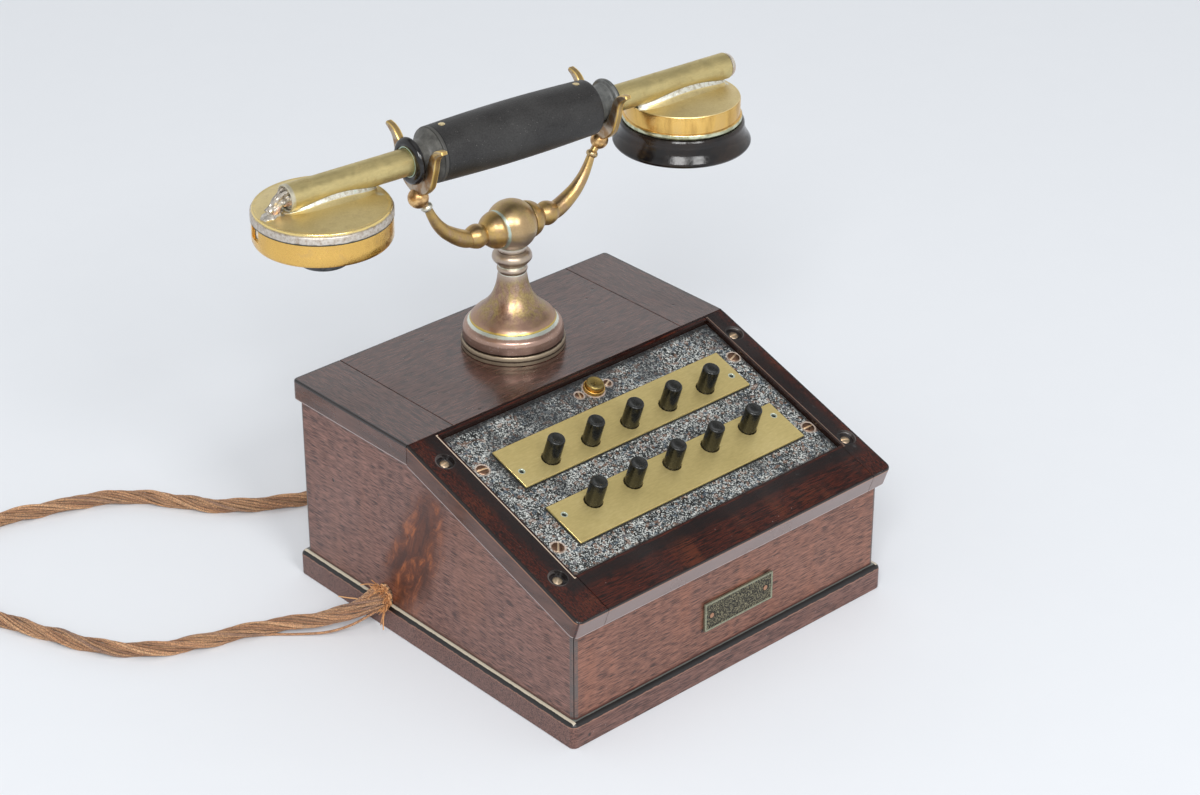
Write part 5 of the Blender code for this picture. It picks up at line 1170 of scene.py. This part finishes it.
barrel = [(grip_radius(1 - i / 8, 1), (grip_half - 0.0009) * (1 - i / 8)) for i in range(17)]
grip = lathe([(grip_bore, grip_half), (grip_end - 0.0009, grip_half),
              [(grip_end - 0.00025, grip_half - 0.0002), barrel[0]], barrel[1:],
              [(grip_end - 0.00005, 0.0003 - grip_half), (grip_end - 0.0003, -grip_half)],
              (grip_bore, -grip_half), (grip_bore, grip_half)], 96, 3, along)
turned_piece("barrel_grip", grip, grip_ebonite, "handset", "dull_ebonite", "grip")
pin_brass = aged_metal("pin_brass", (0.84, 0.70, 0.40), (0.66, 0.50, 0.26), (0.46, 0.33, 0.18), 0.30)
pin_out = 0.0355
pin_size = 0.0016
pin_top = grip_radius(pin_out, grip_half - 0.0007)
for node, name, reach in (("grip_pin_left", "left_pin", -pin_out), ("grip_pin_right", "right_pin", pin_out)):
    pin = lathe([(0, pin_top + 0.00010), [(0.0012, pin_top + 0.00008), (pin_size, pin_top - 0.0001)],
                 (pin_size, grip_bore), (0, grip_bore)],
                32, 4, handset_axes @ Matrix.Translation((reach, 0, 0)))
    turned_piece(name, pin, pin_brass, "handset", "aged_brass", node)
flare = 0.0506
collar_end = 0.0542
rim = 0.0104
neck = 0.0082
for node, name, side, neck_foot, gloss, neck_dark, neck_pale in (
        ("collar_left", "left_collar", -1, 0.0121, (0.20, 0.16),
         (0.040, 0.039, 0.035), (0.110, 0.107, 0.096)),
        ("collar_right", "right_collar", 1, 0.0096, (0.34, 0.34),
         (0.048, 0.050, 0.048), (0.140, 0.143, 0.137))):
    ebonite = Finish("ebonite_of_" + name, gloss[0])
    own_x = abs(ebonite.axis("X", on_tube(ebonite)))
    wear = ebonite.noise(320, 4, 0.65)
    rim_black = (0.007, 0.0065, 0.0065)
    on_neck = own_x.fade(flare - 0.0008, flare + 0.0006)
    ebonite.paint(wear.ramp((0.3, neck_dark), (0.7, neck_pale)))
    if side < 0:
        ebonite.lay(own_x.rise(flare - 0.0008, flare + 0.0006), rim_black)
    else:
        lines = ebonite.math("SINE", own_x * 9000).rise(0.5, 0.9, 0.35)
        ebonite.lay(lines, (0.20, 0.21, 0.20))
        ebonite.lay(own_x.rise(collar_end - 0.0021, collar_end - 0.0015), rim_black)
    from_tube = ebonite.away(place=tube_place, turn=tube_turn, size=(0, 1, 1))
    mint_line = own_x.rise(collar_end - 0.0008, collar_end - 0.0006) * from_tube.fade(0.0066, 0.0069, 0.9)
    ebonite.lay(mint_line, (0.42, 0.56, 0.47))
    ebonite.set(Roughness=on_neck.grade(0.2, 0.8, gloss[1], 0.44))
    ebonite.bump(wear, 0.0001, 0.4)
    swell = neck_foot - neck
    collar = lathe([(grip_bore, -0.0003), (0.0068, -0.0003),
                    [(rim * 0.74, 0), (rim * 0.86, -0.0002), (rim * 0.96, -0.0010), (rim, -0.0021),
                     (rim * 0.965, -0.0030), (neck * 1.06, -0.0037), (neck, -0.0044)],
                    [(neck * 0.99, -0.0067), (neck, -0.0079), (neck + swell * 0.3, -0.0094),
                     (neck + swell * 0.75, -0.0110), (neck_foot, -0.0119)],
                    (grip_bore, -0.0119), (grip_bore, -0.0003)], 72, 5,
                   handset_axes @ Matrix.Rotation(side * math.pi / 2, 4, "Y")
                   @ Matrix.Translation((0, 0, collar_end)))
    turned_piece(name, collar, ebonite, "handset", "ebonite", node)

# Transmitter. A shallow spun cup with a domed lid hangs under the tube's left end, in a polished clamping
# ring with a notch. The lid is soldered to the tube; the solder shows as a pale seam.
transmitter_out = -0.0964
cup_face = -0.0074
lid_crown = 0.0028
cup_top_size = 0.0292
cup_band_size = 0.0299
skirt_size = 0.0280
spun_wall = 0.0013


def lid_height(size, away):
    """Height of a lid's shallow dome over its rim, at a distance from its middle."""
    share = away / (size * 0.95)
    return lid_crown * (1 - share * share) if share < 1 else 0


def solder_ridge(centre, size, face, start, end):
    """The fillet of solder and raised metal between a lid and the tube that lies on it."""
    fillet_share = 0.66
    ridge = bmesh.new()
    bmesh.ops.create_grid(ridge, x_segments=56, y_segments=40, size=0.5)
    seam = ridge.verts.layers.float.new("seam")
    for vert in ridge.verts:
        share = vert.co.x + 0.5
        turn = vert.co.y + 0.5
        arch = math.sin(math.pi * min(max(share, 0.004), 0.996)) ** 0.55
        x = start + (end - start) * share
        side, part = (-1, turn * 2) if turn < 0.5 else (1, 2 - turn * 2)
        top = -math.pi / 2 + math.radians(78) * arch
        edge_y = tube_size * math.cos(top) + 0.0001
        edge_z = tube_size * math.sin(top)
        foot_y = edge_y + 0.0009 + 0.0040 * arch
        foot_z = face + lid_height(size, math.hypot(x - centre, foot_y)) - 0.0003
        if part < fillet_share:
            t = part / fillet_share
            y = (1 - t) ** 2 * foot_y + 2 * t * (1 - t) * (edge_y + 0.0006) + t * t * edge_y
            z = (1 - t) ** 2 * foot_z + 2 * t * (1 - t) * (foot_z + 0.0008) + t * t * edge_z
            vert[seam] = 1.0 if t > 0.62 else 0.0
        else:
            t = (part - fillet_share) / (1 - fillet_share)
            angle = top + (-math.pi / 2 - top) * t
            y, z = [(tube_size - 0.0004) * way for way in (math.cos(angle), math.sin(angle))]
        vert.co = (x, side * y, max(z, foot_z))
    bmesh.ops.remove_doubles(ridge, verts=ridge.verts, dist=1e-6)
    grown = bmesh.ops.extrude_edge_only(ridge, edges=[edge for edge in ridge.edges if edge.is_boundary])
    bmesh.ops.translate(ridge, verts=[v for v in grown["geom"] if isinstance(v, bmesh.types.BMVert)],
                        vec=(0, 0, -0.0006))
    bmesh.ops.holes_fill(ridge, edges=[edge for edge in ridge.edges if edge.is_boundary], sides=0)
    bmesh.ops.recalc_face_normals(ridge, faces=ridge.faces)
    ridge.transform(handset_axes)
    return ridge


def soldered_lid(name, bright, dull, patina, seams):
    """Dull lid brass, pale where solder lies along the tube and in drops beside it."""
    lid = aged_metal(name, bright, dull, patina, 0.38, 0.9, 0.4)
    solder = lid.noise(500, 4, 0.65).ramp((0.35, (0.50, 0.47, 0.38)), (0.55, (0.80, 0.80, 0.74)),
                                          (0.7, (0.62, 0.74, 0.66)))
    lid.lay(lid.stored("seam").rise(0.2, 0.8, 0.92), solder)
    rough = lid.noise(420, 4, 0.7)
    for spot, reach in seams:
        ragged = lid.away(place=handset_axes @ Vector(spot)) + rough * 0.0035
        lid.lay(ragged.fade(reach, reach + 0.0014, 0.88), solder)
    lid.bump(rough * lid.stored("seam"), 0.0006, 0.6)
    return lid


def soldered_shell(outline, centre, size, face, start, end, steps):
    """A lid's dome and the turned shell below it, their heights from the lid's rim, with the solder."""
    shell = bmesh.new()
    shell.verts.layers.float.new("seam")
    dome = [(size * 0.95 * i / 10, lid_height(size, size * 0.95 * i / 10)) for i in range(11)]
    add_shell(shell, lathe([dome[0], dome[1:]] + outline, steps, 3,
                           handset_axes @ Matrix.Translation((centre, 0, face))))
    add_shell(shell, solder_ridge(centre, size, face, start, end))
    return shell


cup_at = handset_axes @ Matrix.Translation((transmitter_out, 0, cup_face))
cup_brass = soldered_lid("lid_brass", (0.78, 0.64, 0.32), (0.66, 0.53, 0.25), (0.56, 0.43, 0.22),
                         [((-0.0722, -0.0068, -0.0068), 0.0026), ((-0.1165, -0.0010, -0.0062), 0.0018)])
cup_up = (cup_brass.axis("Z", cup_brass.turned(place=cup_at.translation, turn=tube_turn))
          + (cup_brass.noise(330, 4, 0.65) - 0.5) * 0.0007)
silver_and_lit_skirt = cup_up.fade(-0.0056, -0.0052, 0.95)
bead_line = cup_up.stripe(-0.0008, -0.0005, -0.0002, 0.0001, 0.9)
cup_brass.lay(cup_up.fade(-0.0012, -0.0009), cup_brass.noise(620, 4, 0.7).ramp(
    (0.34, (0.40, 0.32, 0.25)), (0.5, (0.58, 0.53, 0.47)), (0.68, (0.70, 0.65, 0.59))))
cup_brass.lay(cup_up.fade(-0.0045, -0.0041, 0.9), (0.040, 0.050, 0.040))
# The skirt is painted near white and made less metallic: its silver colour, lightened further as painted
# light where it lies in the ring's shade.
cup_brass.lay(silver_and_lit_skirt, (0.86, 0.90, 0.90))
cup_brass.lay(bead_line, (0.90, 0.68, 0.26))
cup_brass.set(Roughness=bead_line.grade(0.2, 0.8, 0.42, 0.22),
              Metallic=silver_and_lit_skirt.grade(0.1, 0.9, 0.9, 0.15))
cup = soldered_shell(
    [[(cup_top_size * 0.985, 0.00005), (cup_top_size, -0.0005), (cup_top_size, -0.0010)],
     [(cup_band_size - 0.0002, -0.0013), (cup_band_size, -0.0016)], (cup_band_size, -0.0048),
     (skirt_size, -0.0048), (skirt_size, -0.0120), (skirt_size - spun_wall, -0.0120),
     (skirt_size - spun_wall, -0.0020), (0, -0.0020)],
    transmitter_out, cup_top_size, cup_face, -0.1155, -0.0700, 120)
turned_piece("soldered_cup", cup, cup_brass, "handset", "aged_brass", "transmitter_cup")

# Clamping ring. Polished orange-gold brass, closed below except for the mouthpiece's hole, and notched
# at its upper edge so that the cup's skirt shows.
ring_size = 0.0296
ring_inside = ring_size - spun_wall
ring_hole = 0.0132
ring_top = -0.0051
ring_low = -0.0154
notch_floor = ring_top - 0.0056
notch_half = math.asin(0.0040 / ring_size)
ring_brass = aged_metal("gold_ring", (0.84, 0.53, 0.15), (0.75, 0.46, 0.13), (0.50, 0.34, 0.18),
                        0.24, 1.0, 0.30)
ring = lathe([(ring_inside, notch_floor), (ring_size, notch_floor), (ring_size, ring_low + 0.0016),
              [(ring_size - 0.0006, ring_low + 0.0004), (ring_size - 0.0016, ring_low)],
              (ring_hole, ring_low), (ring_hole, ring_low + spun_wall),
              (ring_inside, ring_low + spun_wall), (ring_inside, notch_floor)], 120, 4)
band = bmesh.new()
band_corners = ((ring_inside, 0, notch_floor), (ring_size, 0, notch_floor),
                (ring_size, 0, ring_top), (ring_inside, 0, ring_top))
band_face = band.faces.new([band.verts.new(p) for p in band_corners])
band.transform(Matrix.Rotation(notch_half, 4, "Z"))
bmesh.ops.spin(band, geom=[band_face], cent=(0, 0, 0), axis=(0, 0, 1), angle=math.tau - 2 * notch_half,
               steps=116, use_merge=False, use_duplicate=False)
bmesh.ops.recalc_face_normals(band, faces=band.faces)
band.transform(Matrix.Rotation(math.radians(166.5), 4, "Z"))
add_shell(ring, band)
ring.transform(cup_at)
turned_piece("clamping_ring", ring, ring_brass, "handset", "gold_brass", "transmitter_ring")

# Mouthpiece. A turned ebonite boss that stands out below the ring, grey and worn outside, with a
# funnel that narrows to the throat.
mouth_low = ring_low - 0.0106
flange_size = 0.0160
boss_size = 0.0112
throat = 0.0044
mouth_ebonite = Finish("mouth_ebonite", 0.30)
mouth_wear = mouth_ebonite.noise(240, 4, 0.6)
mouth_ebonite.paint(mouth_wear.ramp((0.35, (0.020, 0.022, 0.026)), (0.7, (0.085, 0.092, 0.102))))
mouth_ebonite.set(Roughness=mouth_wear.grade(0.3, 0.7, 0.24, 0.42))
mouth_ebonite.bump(mouth_ebonite.noise(1200, 3), 0.0001, 0.4)
mouth = lathe([(0, 0.0143), (flange_size, 0.0143), (flange_size, 0.0122), (0.0126, 0.0122),
               [(boss_size * 1.02, 0.0073), (boss_size * 0.97, 0.0033), (boss_size, 0.0012),
                (boss_size * 0.965, 0.0003), (boss_size * 0.90, 0)], (0.0092, 0),
               [(0.0070, 0.0024), (0.0051, 0.0058), (throat, 0.0091), (throat, 0.0130)], (0, 0.0130)],
              72, 5, cup_at @ Matrix.Translation((0, 0, mouth_low)))
turned_piece("mouth_boss", mouth, mouth_ebonite, "handset", "ebonite", "mouthpiece")

# Receiver. A deep gold-brass can with a domed lid soldered under the tube's right end. Verdigris and
# dried polish have gathered round its foot.
receiver_out = 0.0957
can_face = -0.0078
can_size = 0.0262
can_low = -0.0107
can_at = handset_axes @ Matrix.Translation((receiver_out, 0, can_face))
can_brass = soldered_lid("can_brass", (0.80, 0.66, 0.34), (0.68, 0.54, 0.26), (0.56, 0.43, 0.22),
                         [((0.0715, -0.0020, -0.0078), 0.0030), ((0.1185, -0.0030, -0.0072), 0.0026)])
can_up = can_brass.axis("Z", can_brass.turned(place=can_at.translation, turn=tube_turn))
can_ragged = can_up + (can_brass.noise(380, 4, 0.65) - 0.5) * 0.0010
can_brass.lay(can_up.fade(-0.0006, -0.0002),
              can_brass.noise(150, 4, 0.6, can_brass.turned(size=(1, 1, 5))).ramp(
                  (0.38, (0.58, 0.35, 0.10)), (0.50, (0.76, 0.48, 0.14)), (0.66, (0.72, 0.47, 0.17))))
can_brass.lay(can_ragged.fade(can_low + 0.0018, can_low + 0.0024, 0.9),
              can_brass.mix(can_brass.noise(260, 3).rise(0.42, 0.58), (0.60, 0.66, 0.50), (0.36, 0.40, 0.28)))
can_brass.set(Roughness=can_up.grade(-0.0006, -0.0002, 0.22, 0.41))
can = soldered_shell(
    [[(can_size * 0.985, -0.0001), (can_size, -0.0009)], (can_size, can_low + 0.0026),
     [(can_size + 0.0008, can_low + 0.0021), (can_size + 0.0010, can_low + 0.0008),
      (can_size + 0.0006, can_low)],
     (can_size - spun_wall, can_low), (can_size - spun_wall, -0.0020), (0, -0.0020)],
    receiver_out, can_size, can_face, 0.0695, 0.1195, 112)
turned_piece("soldered_can", can, can_brass, "handset", "gold_brass", "receiver_can")

# Ear cap. Turned ebonite with a flared rim, glossy brown black, dished below round the ear hole. It
# is held close under the can's foot, with a hairline gap between them.
ear_gap = 0.0003
ear_tall = 0.0115
ear_rim = 0.0313
ear_inside = 0.0228
ear_hole = 0.0045
ear_ebonite = Finish("brown_ebonite", 0.20)
ear_fine = ear_ebonite.noise(800, 3, 0.6)
ear_ebonite.paint(ear_ebonite.noise(70, 4, 0.6).ramp((0.35, (0.006, 0.005, 0.005)),
                                                     (0.7, (0.026, 0.016, 0.011))))
ear_ebonite.set(Roughness=ear_fine.grade(0.3, 0.7, 0.10, 0.22), Specular_IOR_Level=0.42)
ear_ebonite.bump(ear_fine, 0.00012, 0.4)
ear = lathe([(ear_inside, ear_tall), [(0.0274, ear_tall), (0.0278, 0.0112)],
             [(0.02825, 0.0102), (0.0284, 0.0081), (0.0292, 0.0053), (0.0306, 0.0029), (ear_rim, 0.0016),
              (ear_rim - 0.0001, 0.0008), (0.0306, 0)], (0.0288, 0),
             [(0.0241, 0.0012), (0.0141, 0.0025), (0.0050, 0.0031), (ear_hole, 0.0037)],
             (ear_hole, 0.0055), (ear_inside, 0.0055), (ear_inside, ear_tall)], 112, 5,
            can_at @ Matrix.Translation((0, 0, can_low - ear_gap - ear_tall)))
turned_piece("flared_cap", ear, ear_ebonite, "handset", "ebonite", "ear_cap")

# Torn stump of the handset's cord. A few wires stick out of a bush in the tube's mouth, bent down on
# the lid, their ends tinned and squashed in a drop of old solder.
stump_random = random.Random(11)
stump_lines = []
for i in range(12):
    spread = Vector((0, stump_random.uniform(-0.0030, 0.0030), stump_random.uniform(-0.0026, 0.0030)))
    wander = [Vector([stump_random.uniform(-0.0009, 0.0009) for axis in range(3)]) for step in range(4)]
    route = [Vector((-0.1080, 0, 0)) + spread, Vector((-0.1142, 0, 0)) + spread + wander[0] * 0.3,
             Vector((-0.1170, 0.0004, -0.0014)) + spread * 0.8 + wander[1],
             Vector((-0.1192, 0.0010, -0.0038)) + spread * 0.5 + wander[2],
             Vector((-0.1212, 0.0012, -0.0056)) + spread * 0.35 + wander[3] * 0.4]
    route = route[:stump_random.choice((3, 4, 5, 5, 5))]
    stump_lines.append([(handset_axes @ p, 0.00105 * (1 + 0.35 * math.sin(n * 1.1 + i)))
                        for n, p in enumerate(smooth_line(route, 16))])
stump_metal = aged_metal("tinned_stump", (0.80, 0.77, 0.70), (0.34, 0.28, 0.22), (0.05, 0.045, 0.04),
                         0.30, 0.85, 0.8)
stump_metal.lay(stump_metal.stored("strand").rise(0.86, 0.92, 0.75), (0.58, 0.33, 0.22))
stump = bmesh.new()
add_mesh(stump, swept_mesh(stump_lines, 3))
add_shell(stump, lathe([(0, 0), (0.0048, 0), (0.0048, 0.0090), (0, 0.0090)], 32, 2,
                       along @ Matrix.Translation((0, 0, -0.1128))))
drop = bmesh.new()
bmesh.ops.create_icosphere(drop, subdivisions=4, radius=1)
for vert in drop.verts:
    lump = 1 + 0.16 * noise.noise(vert.co * 2.3)
    taper = 1 - 0.35 * (vert.co.x + 1) / 2
    vert.co = Vector((vert.co.x * 0.0052, vert.co.y * 0.0040 * taper, vert.co.z * 0.0014)) * lump
drop.transform(handset_axes @ Matrix.Translation((-0.1196, 0.0016, -0.0064))
               @ Matrix.Rotation(math.radians(-12), 4, "Y"))
add_shell(stump, drop)
turned_piece("torn_stump", stump, stump_metal, "handset", "brown_cloth", "cord_stub")

# Inside the console. An ebonite contact bank under the keys, a terminal block with brass studs, the
# hook switch and an induction coil wound with enamelled copper wire between two cheeks.
inner_ebonite = Finish("inner_ebonite", 0.45)
inner_cloud = inner_ebonite.noise(180, 4, 0.6)
inner_ebonite.paint(inner_cloud.ramp((0.3, (0.012, 0.011, 0.010)), (0.7, (0.035, 0.031, 0.028))))
inner_ebonite.bump(inner_cloud, 0.0002, 0.3)
for node in ("contact_bank", "terminal_block", "hook_switch"):
    for slot in nodes[node].material_slots:
        slot.material = inner_ebonite.made
coil_length = 0.052
coil_turns = 58
coil_middle = Vector((0.030, 0.012, 0.0246))
cheek_thick = 0.004
coil_copper = aged_metal("enamelled_copper", (0.70, 0.34, 0.18), (0.50, 0.22, 0.11), (0.26, 0.12, 0.07), 0.32)
coil_half = 0.0219
winding = [(0.0090 + 0.0002 * (i % 2), coil_half * (i / coil_turns - 1)) for i in range(2 * coil_turns + 1)]
coil = lathe([(0, winding[0][1]), winding[0], winding[1:], (0, winding[-1][1])], 40, 1,
             Matrix.Translation(coil_middle) @ Matrix.Rotation(math.pi / 2, 4, "Y"))
for side in (-1, 1):
    cheek = bmesh.new()
    middle = coil_middle + Vector((side * (coil_length - cheek_thick) / 2, 0, 0))
    bmesh.ops.create_cube(cheek, size=1, matrix=Matrix.Translation(middle)
                          @ Matrix.Diagonal((cheek_thick, 0.022, 0.024, 1)))
    ease_edges(cheek, 0.0006, 3)
    add_shell(coil, cheek)
turned_piece("wound_coil", coil, coil_copper, "console", "copper_wire", "induction_coil")

bpy.context.view_layer.update()
